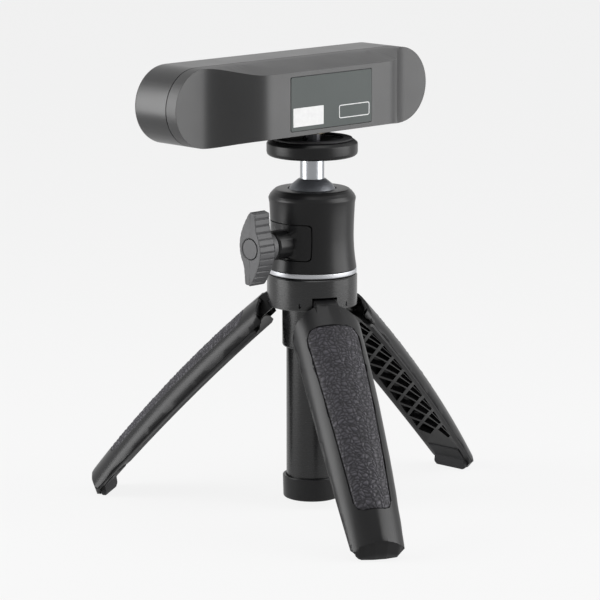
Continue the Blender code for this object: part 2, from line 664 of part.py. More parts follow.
def head_side():
    """The head's side from its foot to its mouth: a waist between two flares, then a shoulder."""
    waist = HEAD_BOTTOM + WAIST_HEIGHT
    lip = HEAD_TOP - SHOULDER_DROP
    side = []
    for i in range(ARCH_STEPS // 2 + 1):
        share = 2 * i / ARCH_STEPS
        drop = (1 - share) ** 2
        side.append((HEAD_WAIST_RADIUS + (HEAD_FOOT_RADIUS - HEAD_WAIST_RADIUS) * drop,
                     HEAD_BOTTOM + WAIST_HEIGHT * share))
    for i in range(1, ARCH_STEPS // 3 + 1):
        share = 3 * i / ARCH_STEPS
        upper = SHOULDER_RADIUS - SHOULDER_LIP
        side.append((HEAD_WAIST_RADIUS + (upper - HEAD_WAIST_RADIUS) * share ** 1.6,
                     waist + (lip - waist) * share))
    side.append((SHOULDER_RADIUS, lip + SHOULDER_LIP))
    shoulder = SHOULDER_RADIUS - HEAD_TOP_RADIUS
    for i in range(CORNER_STEPS + 2):
        turn = math.pi / 2 * i / (CORNER_STEPS + 1)
        rise = SHOULDER_DROP - 3 * SHOULDER_LIP
        side.append((HEAD_TOP_RADIUS + shoulder * math.cos(turn), HEAD_TOP - rise * (1 - math.sin(turn))))
    return side


def knob_frame():
    """A frame on the knob's axis whose third axis is X."""
    return Matrix.Translation((0, 0, KNOB_LEVEL)) @ TOWARDS_X


def panel_block(name, inset, finish):
    """A rounded block along X, as wide as the lock panel less the inset."""
    edge = rounded_rectangle(PANEL_WIDTH - 2 * inset, PANEL_HEIGHT - 2 * inset, PANEL_CORNER)
    raised = [(y, z + PANEL_RISE) for y, z in edge]
    return prism(name, raised, SHOULDER_RADIUS / 3, SHOULDER_RADIUS + OVERRUN, finish, knob_frame())


def panel_core(radius, finish):
    low, high = HEAD_BOTTOM - OVERRUN, HEAD_TOP + OVERRUN
    return turned("core", [(0, low), (radius, low), (radius, high), (0, high)], finish)


def make_head(looks):
    """The head's body with its socket bore, and the panel that carries the knob's boss."""
    bore_floor = HEAD_BOTTOM + BASE_FLANGE_HEIGHT + 2 * SEAT_GAP
    well = BASE_FLANGE_RADIUS + SEAT_GAP
    lip = [(HEAD_BORE * math.cos(a), BALL_LEVEL + HEAD_BORE * math.sin(a))
           for a in (math.acos(MOUTH_RADIUS / HEAD_BORE) * i / CORNER_STEPS
                     for i in range(CORNER_STEPS, -1, -1))]
    profile = head_side() + lip + [(HEAD_BORE, bore_floor), (well, bore_floor), (well, HEAD_BOTTOM)]
    body = turned("head_body", profile, looks["head"])
    recess = panel_block("recess", 0.0, looks["head"])
    combine(recess, panel_core(HEAD_WAIST_RADIUS - PANEL_DEPTH, looks["head"]))
    combine(body, recess)
    bore = CLAMP_SCREW_RADIUS + SEAT_GAP
    hole = [(0, 0), (bore, 0), (bore, SHOULDER_RADIUS + OVERRUN), (0, SHOULDER_RADIUS + OVERRUN)]
    drill = turned("drill", hole, looks["head"], SMALL_STEPS, knob_frame())
    combine(body, drill, keep_tool=True)

    panel = panel_block("lock_panel", FIT_GAP, looks["head"])
    outer = [(0, HEAD_BOTTOM)] + head_side() + [(0, HEAD_TOP)]
    combine(panel, turned("skin", outer, looks["head"]), "INTERSECT")
    combine(panel, panel_core(HEAD_WAIST_RADIUS - PANEL_DEPTH + FIT_GAP, looks["head"]))
    start = HEAD_WAIST_RADIUS - PANEL_DEPTH + 2 * FIT_GAP
    end = HEAD_WAIST_RADIUS + LOCK_BOSS_LENGTH
    boss = [(0, start), (LOCK_BOSS_RADIUS, start), (LOCK_BOSS_RADIUS, end - LOCK_BOSS_BEVEL)]
    boss += [(LOCK_BOSS_RADIUS - LOCK_BOSS_BEVEL, end), (0, end)]
    combine(panel, turned("boss", boss, looks["head"], SMALL_STEPS, knob_frame()), "UNION")
    reach = HEAD_WAIST_RADIUS + LOCK_BOSS_LENGTH + OVERRUN
    drill_through = [(0, 0), (bore, 0), (bore, reach), (0, reach)]
    bpy.data.objects.remove(drill, do_unlink=True)
    combine(panel, turned("drill", drill_through, looks["head"], SMALL_STEPS, knob_frame()))
    return [body, panel]


def make_seat(finish):
    """A cup that the ball rests in."""
    cup = HEAD_BORE
    outer = HEAD_BORE - HEAD_BORE_GAP
    low = seat_bottom()
    edge = BALL_LEVEL - math.sqrt(cup ** 2 - (outer * 0.93) ** 2)
    middle = BALL_LEVEL - math.sqrt(cup ** 2 - (outer * 0.68) ** 2)
    inner = BALL_LEVEL - math.sqrt(cup ** 2 - SEAT_HOLE_RADIUS ** 2)
    profile = [(SEAT_HOLE_RADIUS, low), (outer, low), (outer, edge), (outer * 0.93, edge)]
    profile += [(outer * 0.68, middle), (SEAT_HOLE_RADIUS, inner)]
    return turned("ball_seat", profile, finish)


def seat_bottom():
    return BALL_LEVEL - BALL_RADIUS - SEAT_THICKNESS / 5


def make_brake(finish):
    """The block that lifts the seat against the ball when the clamp screw's cone enters it."""
    top = seat_bottom() - SEAT_GAP / 2
    low = HEAD_BOTTOM + BASE_FLANGE_HEIGHT + 3 * SEAT_GAP
    radius = HEAD_BORE - HEAD_BORE_GAP
    section = [(0, low), (radius, low), (radius, top), (0, top)]
    block = turned("brake_block", section, finish, SMALL_STEPS)
    tip = HEAD_BORE - CLAMP_SCREW_DEPTH + STUD_RADIUS
    gap = SEAT_GAP
    cone = [(0, tip - 2 * gap), (CLAMP_SCREW_RADIUS + gap, tip + CLAMP_SCREW_RADIUS - 2 * gap)]
    cone += [(CLAMP_SCREW_RADIUS + gap, HEAD_BORE + OVERRUN), (0, HEAD_BORE + OVERRUN)]
    return combine(block, turned("cone", cone, finish, SMALL_STEPS, knob_frame()))


def wing_outline():
    """The knob's S-shaped wing: half an outline in shares of its span, repeated half a turn on."""
    half = KNOB_WING_SPAN / 2
    side_shares = ((-0.02, 1.0), (0.08, 1.0), (0.19, 0.97), (0.21, 0.82), (0.25, 0.5), (0.36, 0.24),
                   (0.41, 0.0), (0.405, -0.2), (0.34, -0.46), (0.2, -0.74))
    points = [(y * half, z * half) for y, z in side_shares]
    return points + [(-y, -z) for y, z in points]


def knob_face():
    """Where the knob's outer face lies along its axis."""
    boss = HEAD_WAIST_RADIUS + LOCK_BOSS_LENGTH
    return boss + SEAT_GAP + KNOB_HUB_LENGTH + KNOB_WING_THICKNESS


def make_knob(looks):
    """The wing knob, the cap that covers its screw, and the clamp screw."""
    face = knob_face()
    back = face - KNOB_WING_THICKNESS
    bevel = KNOB_EDGE_BEVEL
    inner_share = 1 - 2 * bevel / KNOB_WING_SPAN
    frame = knob_frame()
    outline = wing_outline()
    sections = []
    for share, depth in ((inner_share, back), (1, back + bevel), (1, face - bevel), (inner_share, face)):
        sections.append([frame @ Vector((y * share, z * share, depth)) for y, z in outline])
    knob = lofted("wing_knob", sections, looks["knob"])
    start = back - KNOB_HUB_LENGTH
    hub = [(0, start), (KNOB_HUB_RADIUS - bevel, start), (KNOB_HUB_RADIUS, start + bevel)]
    hub += [(KNOB_HUB_RADIUS, back + bevel), (0, back + bevel)]
    combine(knob, turned("hub", hub, looks["knob"], SMALL_STEPS, frame), "UNION")
    well = KNOB_CAP_RADIUS + FIT_GAP
    floor = face - KNOB_CAP_DEPTH
    shaft = CLAMP_SCREW_RADIUS + FIT_GAP
    bore = [(0, start - OVERRUN), (shaft, start - OVERRUN), (shaft, floor), (well, floor)]
    bore += [(well, face + OVERRUN), (0, face + OVERRUN)]
    combine(knob, turned("bore", bore, looks["knob"], SMALL_STEPS, frame))
    low = floor + SEAT_GAP
    cap = [(0, low), (KNOB_CAP_RADIUS, low), (KNOB_CAP_RADIUS, face), (0, face)]
    cover = turned("knob_cap", cap, looks["knob"], SMALL_STEPS, frame)
    tip = HEAD_BORE - CLAMP_SCREW_DEPTH + STUD_RADIUS
    rod = [(0, tip), (CLAMP_SCREW_RADIUS, tip + CLAMP_SCREW_RADIUS), (CLAMP_SCREW_RADIUS, floor)]
    rod += [(0, floor)]
    return [knob, cover, turned("clamp_screw", rod, looks["bright"], SMALL_STEPS, frame)]


def make_head_base(looks):
    """The pivot that the head turns on, and the bright ring under the head."""
    low = HUB_TOP - BASE_SPIGOT_LENGTH
    neck = TRIM_HOLE_RADIUS - FIT_GAP
    spigot = MAST_UPPER_BORE - MAST_LIP - FIT_GAP
    flange = HEAD_BOTTOM + SEAT_GAP / 2
    mast_top = HUB_TOP + SEAT_GAP / 2
    profile = [(0, low), (spigot, low), (spigot, mast_top), (neck, mast_top), (neck, flange)]
    profile += [(BASE_FLANGE_RADIUS, flange), (BASE_FLANGE_RADIUS, flange + BASE_FLANGE_HEIGHT)]
    profile += [(0, flange + BASE_FLANGE_HEIGHT)]
    base = turned("head_pivot", profile, looks["sheet"])
    ring = [(TRIM_HOLE_RADIUS, TRIM_BOTTOM), (TRIM_RADIUS - TRIM_BEVEL, TRIM_BOTTOM)]
    ring += [(TRIM_RADIUS, TRIM_BOTTOM + TRIM_BEVEL), (TRIM_RADIUS, TRIM_TOP - TRIM_BEVEL)]
    ring += [(TRIM_RADIUS - TRIM_BEVEL, TRIM_TOP), (TRIM_HOLE_RADIUS, TRIM_TOP)]
    return [base, turned("trim_ring", ring, looks["bright"])]


def leg_angles():
    return [LEG_FIRST_ANGLE + 2 * math.pi * i / len(LEG_NAMES) for i in range(len(LEG_NAMES))]


def make_hub(finish):
    """The collar that the legs hinge in, with a notch for each leg's tongue."""
    gland_floor = HUB_TOP - GLAND_HEIGHT - SEAT_GAP
    gland = GLAND_RADIUS + FIT_GAP
    profile = [(HUB_BORE, HUB_BOTTOM), (HUB_RADIUS - HUB_EDGE, HUB_BOTTOM)]
    profile += [(HUB_RADIUS, HUB_BOTTOM + HUB_EDGE), (HUB_RADIUS, HUB_TOP - HUB_EDGE)]
    profile += [(HUB_RADIUS - HUB_EDGE, HUB_TOP), (gland, HUB_TOP), (gland, gland_floor)]
    profile += [(HUB_BORE, gland_floor)]
    hub = turned("leg_hub", profile, finish, ROUND_STEPS + ROUND_STEPS // 5)
    for angle in leg_angles():
        frame = Matrix.Rotation(angle, 4, "Z")
        half = NOTCH_WIDTH / 2
        inner, outer = HUB_RADIUS - NOTCH_DEPTH, HUB_RADIUS + OVERRUN
        notch = [(inner, -half), (outer, -half), (outer, half), (inner, half)]
        low, high = HUB_BOTTOM - OVERRUN, HUB_BOTTOM + NOTCH_HEIGHT
        combine(hub, prism("notch", notch, low, high, finish, frame))
        reach = PIN_LENGTH / 2 + SEAT_GAP
        hole = [(0, -reach), (PIN_RADIUS + FIT_GAP, -reach), (PIN_RADIUS + FIT_GAP, reach), (0, reach)]
        combine(hub, turned("hole", hole, finish, TINY_STEPS, pin_frame(angle)))
    return hub


def pin_frame(angle):
    """A frame at a leg's hinge whose third axis lies along the pin."""
    place = Matrix.Rotation(angle, 4, "Z") @ Matrix.Translation((HINGE_RADIUS, 0, HINGE_HEIGHT))
    return place @ Matrix.Rotation(-math.pi / 2, 4, "X")


def make_pins(finish):
    half = PIN_LENGTH / 2
    profile = [(0, -half), (PIN_RADIUS, -half), (PIN_RADIUS, half), (0, half)]
    return [turned(f"hinge_pin_{word}", profile, finish, TINY_STEPS, pin_frame(angle))
            for word, angle in zip(LEG_NAMES, leg_angles())]


def tube(name, outer, inner, low, high, finish, steps=ROUND_STEPS):
    return turned(name, [(inner, low), (outer, low), (outer, high), (inner, high)], finish, steps)


def make_column(looks):
    """The grip column under the hub: sleeve, tube, end cap and the gland that grips the mast."""
    inner = COLUMN_RADIUS + FIT_GAP
    rounding = arc((SLEEVE_RADIUS - SLEEVE_ROUND, SLEEVE_BOTTOM + SLEEVE_ROUND), SLEEVE_ROUND,
                   -0.25, 0.0, CORNER_STEPS)
    profile = [(inner, SLEEVE_BOTTOM)] + rounding + [(SLEEVE_RADIUS, SLEEVE_TOP), (inner, SLEEVE_TOP)]
    sleeve = turned("hub_sleeve", profile, looks["tube"])
    column = tube("column_tube", COLUMN_RADIUS, COLUMN_BORE, COLUMN_BOTTOM, COLUMN_TOP, looks["tube"])
    foot = CAP_RADIUS - CAP_TAPER
    cup = [(0, CAP_BOTTOM)]
    cup += arc((foot - CAP_ROUND, CAP_BOTTOM + CAP_ROUND), CAP_ROUND, -0.25, 0.0, CORNER_STEPS)
    cup += [(CAP_RADIUS, CAP_BOTTOM + CAP_HEIGHT), (inner, CAP_BOTTOM + CAP_HEIGHT)]
    cup += [(inner, CAP_BOTTOM + CAP_FLOOR), (0, CAP_BOTTOM + CAP_FLOOR)]
    cap = turned("column_cap", cup, looks["plastic"])
    gland = tube("mast_gland", GLAND_RADIUS, MAST_LOWER_RADIUS + FIT_GAP,
                 HUB_TOP - GLAND_HEIGHT, HUB_TOP - SEAT_GAP, looks["rubber"])
    return [sleeve, column, cap, gland]


def make_mast(name, outer, low, high, room, finish):
    """A drawn tube with a rolled lip at its top, and the bush that slides in the tube round it."""
    inner = outer - MAST_WALL
    lip = inner - MAST_LIP
    profile = [(inner, low), (outer, low), (outer, high), (lip, high)]
    profile += [(lip, high - MAST_LIP_LENGTH), (inner, high - MAST_LIP_LENGTH - MAST_LIP)]
    body = turned(f"{name}_tube", profile, finish["bright"])
    ring = tube(f"{name}_bush", room - FIT_GAP, outer + FIT_GAP / 2, low, low + MAST_BUSH_LENGTH,
                finish["plastic"])
    return [body, ring]


def crown(u):
    """Height of the leg's outer face over the hinge line."""
    return CROWN_HEIGHT - (u - CROWN_PLACE) ** 2 / (2 * CROWN_ARC_RADIUS)


def bowed(u, top, tip, bow):
    """A height that runs from the hinge's to the tip's, with a bow in the middle."""
    share = u / LEG_LENGTH
    return top + (tip - top) * share + bow * 4 * share * (1 - share)


def inner_edge(u):
    """Height of the two edges where the rails meet the hollow."""
    return bowed(u, INNER_EDGE_TOP, INNER_EDGE_TIP, INNER_EDGE_BOW)


def seam(u):
    """Height of the line where shell and frame meet."""
    return bowed(u, SEAM_TOP, SEAM_TIP, SEAM_BOW)


def half_width(u):
    """Half the leg's width, full near the hinge and narrower to the foot."""
    share = max(0.0, (u - LEG_ARCH_CENTRE) / (LEG_LENGTH - LEG_ARCH_CENTRE))
    return LEG_HALF_WIDTH - (LEG_HALF_WIDTH - LEG_FOOT_HALF_WIDTH) * share ** 2


def mouth(u):
    """Half the width of the hollow that makes room for the column when the leg is folded."""
    return half_width(u) - MOUTH_INSET


def channel(u, t):
    """Height of the hollow's arc at u and t."""
    edge = math.sqrt(CHANNEL_RADIUS ** 2 - mouth(u) ** 2)
    return inner_edge(u) + math.sqrt(CHANNEL_RADIUS ** 2 - t ** 2) - edge


def chord(u):
    """How square the arch is at u: rounder near the hinge, more like a tent near the foot."""
    return CHORD_EXPONENT - CHORD_EXPONENT_LOSS * max(0.0, min(1.0, u / LEG_LENGTH)) ** 4


def skin(u, t, inset=0.0):
    """Height of the leg's outer face at u and t: a crowned arch over the seam."""
    share = min(1.0, abs(t) / (half_width(u) - inset))
    arch = (1 - share ** chord(u)) ** (1 / chord(u))
    return seam(u) + (crown(u) - inset - seam(u)) * arch


def arch_section(u, inset, depth, steps=ARCH_STEPS):
    """One cross-section of the leg's outer form, from a depth under the seam over the crown."""
    width = half_width(u) - inset
    low = seam(u)
    rise = crown(u) - inset - low
    points = [Vector((u, width, low - depth))]
    for i in range(steps + 1):
        turn = math.pi * i / steps
        t = abs(math.cos(turn)) ** (2 / chord(u)) * math.copysign(width, math.cos(turn))
        points.append(Vector((u, t, low + rise * abs(math.sin(turn)) ** (2 / chord(u)))))
    points.append(Vector((u, -width, low - depth)))
    return points


def leg_stations(start, end):
    return [start + (end - start) * i / LEG_STATIONS for i in range(LEG_STATIONS + 1)]


def in_leg(radius, height):
    """Leg coordinates (u, v) of a point at a radius from the column and a height over the floor."""
    out, up = radius - HINGE_RADIUS, height - HINGE_HEIGHT
    lean, drop = math.sin(LEG_SPREAD), math.cos(LEG_SPREAD)
    return out * lean - up * drop, out * drop + up * lean


def arch_outline(half, start_drop, end):
    """Plan of a leg piece in (u, t): a half-oval at the hinge end and straight sides."""
    points = []
    for i in range(ARCH_STEPS + 1):
        turn = math.pi * i / ARCH_STEPS
        points.append((LEG_ARCH_CENTRE - (LEG_ARCH_RISE - start_drop) * math.sin(turn),
                       half * math.cos(turn)))
    return [(end, half)] + points + [(end, -half)]


def tip_outline(ground, inset):
    """Side view of the room that a leg's shell may take up: the floor and the steep tip cut it."""
    face = TIP_REACH - inset
    foot = in_leg(face - TIP_FACE_LEAN * (1 - ground / TIP_FACE_HEIGHT), ground)
    top = in_leg(face, TIP_FACE_HEIGHT)
    bevel = (top[0] - TIP_BEVEL, top[1] + TIP_BEVEL)
    inside = in_leg(HINGE_RADIUS + LEG_LENGTH / 3, ground)
    start = -LEG_ARCH_CENTRE
    return [(start, -LEG_ARCH_CENTRE), inside, foot, top, bevel,
            (bevel[0] - OVERRUN, CROWN_HEIGHT + OVERRUN), (start, CROWN_HEIGHT + OVERRUN)]


def tip_block(name, ground, inset, finish):
    """The leg's room as a block: the tip is curved in plan, and its lower corners slope away."""
    wide = 2 * LEG_HALF_WIDTH
    flat = TIP_FLAT_HALF
    limit = TIP_FACE_HEIGHT / 2
    side = flat + limit / TIP_SIDE_SLOPE_SHARE
    sections = []
    for t in (-wide, -side, -flat, -flat / 3, flat / 3, flat, side, wide):
        bow = min(t ** 2, LEG_HALF_WIDTH ** 2) / (2 * TIP_PLAN_RADIUS)
        lift = min(limit, max(0.0, abs(t) - flat) * TIP_SIDE_SLOPE_SHARE)
        sections.append([Vector((u, t, v)) for u, v in tip_outline(ground + lift, inset + bow)])
    return lofted(name, sections, finish)


def lug_outline():
    """Side view of the tongue: round about the pin, and running into the shell's crown."""
    circle = arc((0, 0), LUG_RADIUS, 0.28, 0.74, ARCH_STEPS // 2)
    relief = LUG_RADIUS * LUG_RELIEF_SHARE
    far = FRAME_START - 2 * SEAT_GAP
    step = SHELL_WALL / 2
    start = LEG_ARCH_CENTRE - LEG_ARCH_RISE
    return circle + [(relief, -relief), (far, -LUG_RADIUS / 4), (far, crown(far) - step),
                     (start, crown(start) - step / 2), (LUG_RADIUS / 5, TONGUE_HEIGHT)]


def grip_half(u):
    """Half the inlay's width at u, rounded at both ends."""
    share = (u - GRIP_START) / (GRIP_END - GRIP_START)
    half = GRIP_TOP_HALF + (GRIP_FOOT_HALF - GRIP_TOP_HALF) * share ** 1.3
    for edge, radius in ((u - GRIP_START, GRIP_TOP_ROUND), (GRIP_END - u, GRIP_FOOT_ROUND)):
        if edge < radius:
            half -= radius - math.sqrt(max(0.0, radius ** 2 - (radius - edge) ** 2))
    return half


def grip_patch(name, grow, low, high, finish):
    """The inlay's place on the leg, between two depths measured from the outer face."""
    rows = []
    for share in (0.0, 0.015, 0.06, 0.3, 0.6, 0.95, 0.99, 1.0):
        u = GRIP_START + (GRIP_END - GRIP_START) * share
        rows.append((u + grow * (2 * share - 1), grip_half(u) + grow))
    mesh_data = bmesh.new()
    sheets = []
    for depth in (low, high):
        sheet = []
        for u, half in rows:
            line = [half * (2 * i / GRIP_COLUMNS - 1) for i in range(GRIP_COLUMNS + 1)]
            sheet.append([mesh_data.verts.new((u, t, skin(u, t) + depth)) for t in line])
        sheets.append(sheet)
    for sheet in sheets:
        for a, b in zip(sheet, sheet[1:]):
            for i in range(GRIP_COLUMNS):
                near, far = (a, b) if i < GRIP_COLUMNS / 2 else (b, a)
                mesh_data.faces.new((near[i], near[i + 1], far[i + 1]))
                mesh_data.faces.new((near[i], far[i + 1], far[i]))
    rims = []
    for sheet in sheets:
        rim = sheet[0] + [row[-1] for row in sheet[1:-1]] + sheet[-1][::-1]
        rims.append(rim + [row[0] for row in sheet[-2:0:-1]])
    faces_between(mesh_data, rims[0], rims[1])
    return solid(name, mesh_data, finish)


def make_leg_shell(finish):
    """The outer moulding of a leg: a crowned shell with a tongue, a closed tip and the inlay's bed."""
    end = LEG_LENGTH + 2 * OVERRUN
    outer = [arch_section(u, 0.0, OVERRUN) for u in leg_stations(0.0, end)]
    shell = lofted("leg_shell", outer, finish)
    inner = [arch_section(u, SHELL_WALL, 2 * OVERRUN, INNER_ARCH_STEPS)
             for u in leg_stations(-OVERRUN, end + OVERRUN)]
    hollow = lofted("hollow", inner, finish)
    combine(shell, combine(hollow, tip_block("tip", -OVERRUN, TIP_WALL, finish), "INTERSECT"))
    below = [(u, seam(u)) for u in leg_stations(-OVERRUN, end + OVERRUN)]
    floor = INNER_EDGE_TOP - 2 * OVERRUN
    below += [(end + OVERRUN, floor), (-OVERRUN, floor)]
    room = prism("room", below, -2 * LEG_HALF_WIDTH, 2 * LEG_HALF_WIDTH, finish, LEG_SIDE)
    combine(shell, combine(room, tip_block("tip", -2 * OVERRUN, TIP_WALL, finish), "INTERSECT"))
    wide = LEG_HALF_WIDTH + FIT_GAP
    plan = arch_outline(wide, 0.0, end + OVERRUN)
    combine(shell, prism("plan", plan, floor, CROWN_HEIGHT + OVERRUN, finish), "INTERSECT")
    combine(shell, tip_block("tip", SHELL_GROUND_GAP, 0.0, finish), "INTERSECT")
    bed = -GRIP_THICKNESS - FIT_GAP
    combine(shell, grip_patch("bed", GRIP_GAP, bed, OVERRUN, finish))
    lug = prism("lug", lug_outline(), -LUG_WIDTH / 2, LUG_WIDTH / 2, finish, LEG_SIDE)
    combine(shell, lug, "UNION")
    hole = [(0, -LUG_WIDTH), (PIN_RADIUS + FIT_GAP, -LUG_WIDTH)]
    hole += [(PIN_RADIUS + FIT_GAP, LUG_WIDTH), (0, LUG_WIDTH)]
    frame = Matrix.Rotation(-math.pi / 2, 4, "X")
    return combine(shell, turned("hole", hole, finish, TINY_STEPS, frame))


def clipped(points, limit):
    """A diamond's outline with the parts beyond t = limit and t = -limit cut away."""
    for sign in (1, -1):
        kept = []
        for (u0, t0), (u1, t1) in zip(points, points[1:] + points[:1]):
            inside, next_inside = sign * t0 <= limit, sign * t1 <= limit
            if inside:
                kept.append((u0, t0))
            if inside != next_inside:
                share = (sign * limit - t0) / (t1 - t0)
                kept.append((u0 + (u1 - u0) * share, sign * limit))
        points = kept
    return points


def lattice_pockets():
    """The diamond pockets between two crossing families of ribs."""
    pockets = []
    half_u = LATTICE_PITCH / 2
    half_t = half_u * LATTICE_ASPECT
    thin = LATTICE_RIB / 2 * math.hypot(half_u, half_t)
    du, dt = half_u - thin / half_t, half_t - thin / half_u
    rows = int((LATTICE_END - LATTICE_START) / half_u)
    across = int(LEG_HALF_WIDTH / half_t) + 1
    for row in range(1, rows):
        u = LATTICE_START + half_u * row
        limit = rail_line(u) - LATTICE_MARGIN
        for column in range(-across, across + 1):
            if (row + column) % 2:
                continue
            t = half_t * column
            diamond = clipped([(u - du, t), (u, t - dt), (u + du, t), (u, t + dt)], limit)
            wide = max((p[1] for p in diamond), default=0) - min((p[1] for p in diamond), default=0)
            if wide > LATTICE_RIB:
                pockets.append(diamond)
    return pockets


def rail_line(u):
    """Where the web ends and a rail begins."""
    return mouth(u) - RAIL_WIDTH


def frame_low(u, t):
    """Lower face of the inner frame: the hollow, and the rails' faces that slope up to the sides."""
    if abs(t) <= mouth(u):
        return channel(u, t)
    share = min(1.0, (abs(t) - mouth(u)) / MOUTH_INSET)
    return inner_edge(u) + (seam(u) - inner_edge(u)) * RAIL_SIDE_SHARE * share


def frame_high(u, t):
    """Upper face of the inner frame: the seam over the rails, and a web over the hollow."""
    over_rail = abs(t) > rail_line(u) - SEAT_GAP
    return seam(u) - FIT_GAP if over_rail else channel(u, t) + WEB_THICKNESS


def frame_plan():
    """Outline of the inner frame in (u, t), with a bay for the foot between its two prongs."""
    bay = FOOT_START - SEAT_GAP
    bay_half = FOOT_HALF_WIDTH + FIT_GAP
    end = LEG_LENGTH + OVERRUN
    top = []
    for i in range(ARCH_STEPS + 1):
        turn = math.pi * i / ARCH_STEPS
        half = half_width(LEG_ARCH_CENTRE)
        top.append((LEG_ARCH_CENTRE - (LEG_ARCH_CENTRE - FRAME_START) * math.sin(turn), half * math.cos(turn)))
    stations = [u for u in leg_stations(LEG_ARCH_CENTRE, end) if u > LEG_ARCH_CENTRE]
    right = [(u, -half_width(u)) for u in stations]
    left = [(u, half_width(u)) for u in reversed(stations)]
    return top + right + [(end, -bay_half), (bay, -bay_half), (bay, bay_half), (end, bay_half)] + left


def inside(point, polygon):
    """Whether a point lies in a polygon, by counting crossings."""
    u, t = point
    found = False
    for (u0, t0), (u1, t1) in zip(polygon, polygon[1:] + polygon[:1]):
        if (t0 > t) != (t1 > t) and u < u0 + (t - t0) * (u1 - u0) / (t1 - t0):
            found = not found
    return found


def make_leg_frame(finish):
    """The inner frame of a leg: rails, and a web pierced by the diamonds of a crossed lattice."""
    outline, pockets = frame_plan(), lattice_pockets()
    rail_ends = [LATTICE_START - LATTICE_MARGIN, LATTICE_END + LATTICE_MARGIN]
    stations = leg_stations(*rail_ends)
    rails = [[(u, side * line(u)) for u in stations] for side in (-1, 1) for line in (rail_line, mouth)]
    points, edges = [], []
    for loop in [outline] + pockets:
        start = len(points)
        points += [Vector(p) for p in loop]
        edges += [(start + i, start + (i + 1) % len(loop)) for i in range(len(loop))]
    for line in rails:
        start = len(points)
        points += [Vector(p) for p in line]
        edges += [(start + i, start + i + 1) for i in range(len(line) - 1)]
    merge = SEAT_GAP / 1000
    flat, _, triangles, *_ = delaunay_2d_cdt(points, edges, [], 0, merge)
    kept = []
    for corners in triangles:
        middle = sum((Vector(flat[i]) for i in corners), Vector((0, 0))) / len(corners)
        if inside(middle, outline) and not any(inside(middle, pocket) for pocket in pockets):
            kept.append(corners)
    mesh_data = bmesh.new()
    low = [mesh_data.verts.new((u, t, frame_low(u, t))) for u, t in flat]
    high = [mesh_data.verts.new((u, t, frame_high(u, t))) for u, t in flat]
    walls = {}
    for corners in kept:
        mesh_data.faces.new([low[i] for i in corners])
        mesh_data.faces.new([high[i] for i in reversed(corners)])
        for a, b in zip(corners, corners[1:] + corners[:1]):
            walls[(a, b)] = True
    for a, b in walls:
        if (b, a) not in walls:
            mesh_data.faces.new((low[a], low[b], high[b], high[a]))
    loose = [v for v in mesh_data.verts if not v.link_faces]
    bmesh.ops.delete(mesh_data, geom=loose, context="VERTS")
    frame = solid("leg_frame", mesh_data, finish)
    return combine(frame, tip_block("tip", SHELL_GROUND_GAP, TIP_WALL + FIT_GAP, finish), "INTERSECT")


def foot_outline():
    """Side view of the rubber foot: a block in the frame's bay with a toe that stands on the floor."""
    heel, bump = FOOT_START, FOOT_BUMP_START
    sole, end = in_leg(FOOT_SOLE_REACH, 0.0), in_leg(TIP_REACH - TIP_WALL / 2, 0.0)
    return [(heel, inner_edge(heel)), (bump, inner_edge(bump)),
            (bump + FOOT_TOE, inner_edge(bump) - FOOT_BUMP), sole, end,
            (end[0], FOOT_TOP), (heel, FOOT_TOP)]


def make_foot(finish):
    half = FOOT_HALF_WIDTH
    foot = prism("leg_foot", foot_outline(), -half, half, finish, LEG_SIDE)
    return combine(foot, tip_block("tip", 0.0, TIP_WALL + FIT_GAP, finish), "INTERSECT")


def hinge_empty(word, angle):
    """An empty on a leg's hinge, turned so that X runs down the leg and Z outwards from it."""
    lean, drop = math.sin(LEG_SPREAD), math.cos(LEG_SPREAD)
    down = Matrix(((lean, 0, drop, 0), (0, 1, 0, 0), (-drop, 0, lean, 0), (0, 0, 0, 1)))
    place = Matrix.Translation((HINGE_RADIUS, 0, HINGE_HEIGHT))
    return empty(f"leg_hinge_{word}", Matrix.Rotation(angle, 4, "Z") @ place @ down)


def empty(name, matrix):
    made = bpy.data.objects.new(name, None)
    bpy.context.scene.collection.objects.link(made)
    made.matrix_world = matrix
    return made


def hang(pieces, holder):
    """Parents pieces to an empty without moving them."""
    bpy.context.view_layer.update()
    for piece in pieces:
        piece.parent = holder
        piece.matrix_parent_inverse = holder.matrix_world.inverted()


def make_legs(looks, base):
    """Three legs that share their meshes, each hung from its own hinge."""
    shapes = [make_leg_shell(looks["plastic"]), make_leg_frame(looks["frame"]),
              grip_patch("leg_grip", 0.0, -GRIP_THICKNESS, 0.0, looks["leather"]),
              make_foot(looks["rubber"])]
    for word, angle in zip(LEG_NAMES, leg_angles()):
        hinge = hinge_empty(word, angle)
        hang([hinge], base)
        for shape in shapes:
            piece = bpy.data.objects.new(f"{shape.name}_{word}", shape.data)
            bpy.context.scene.collection.objects.link(piece)
            piece.parent = hinge
    for shape in shapes:
        bpy.data.objects.remove(shape, do_unlink=True)


def centre_on_footprint(base):
    """Moves the whole part so that the middle of its plan lies on the origin."""
    bpy.context.view_layer.update()
    graph = bpy.context.evaluated_depsgraph_get()
    corners = []
    for thing in bpy.data.objects:
        if thing.type == "MESH":
            shape = thing.evaluated_get(graph)
            corners += [shape.matrix_world @ vertex.co for vertex in shape.data.vertices]
    spans = [(min(c[i] for c in corners), max(c[i] for c in corners)) for i in range(3)]
    middle = (-(spans[0][0] + spans[0][1]) / 2, -(spans[1][0] + spans[1][1]) / 2, -spans[2][0])
    base.matrix_world = Matrix.Translation(middle)


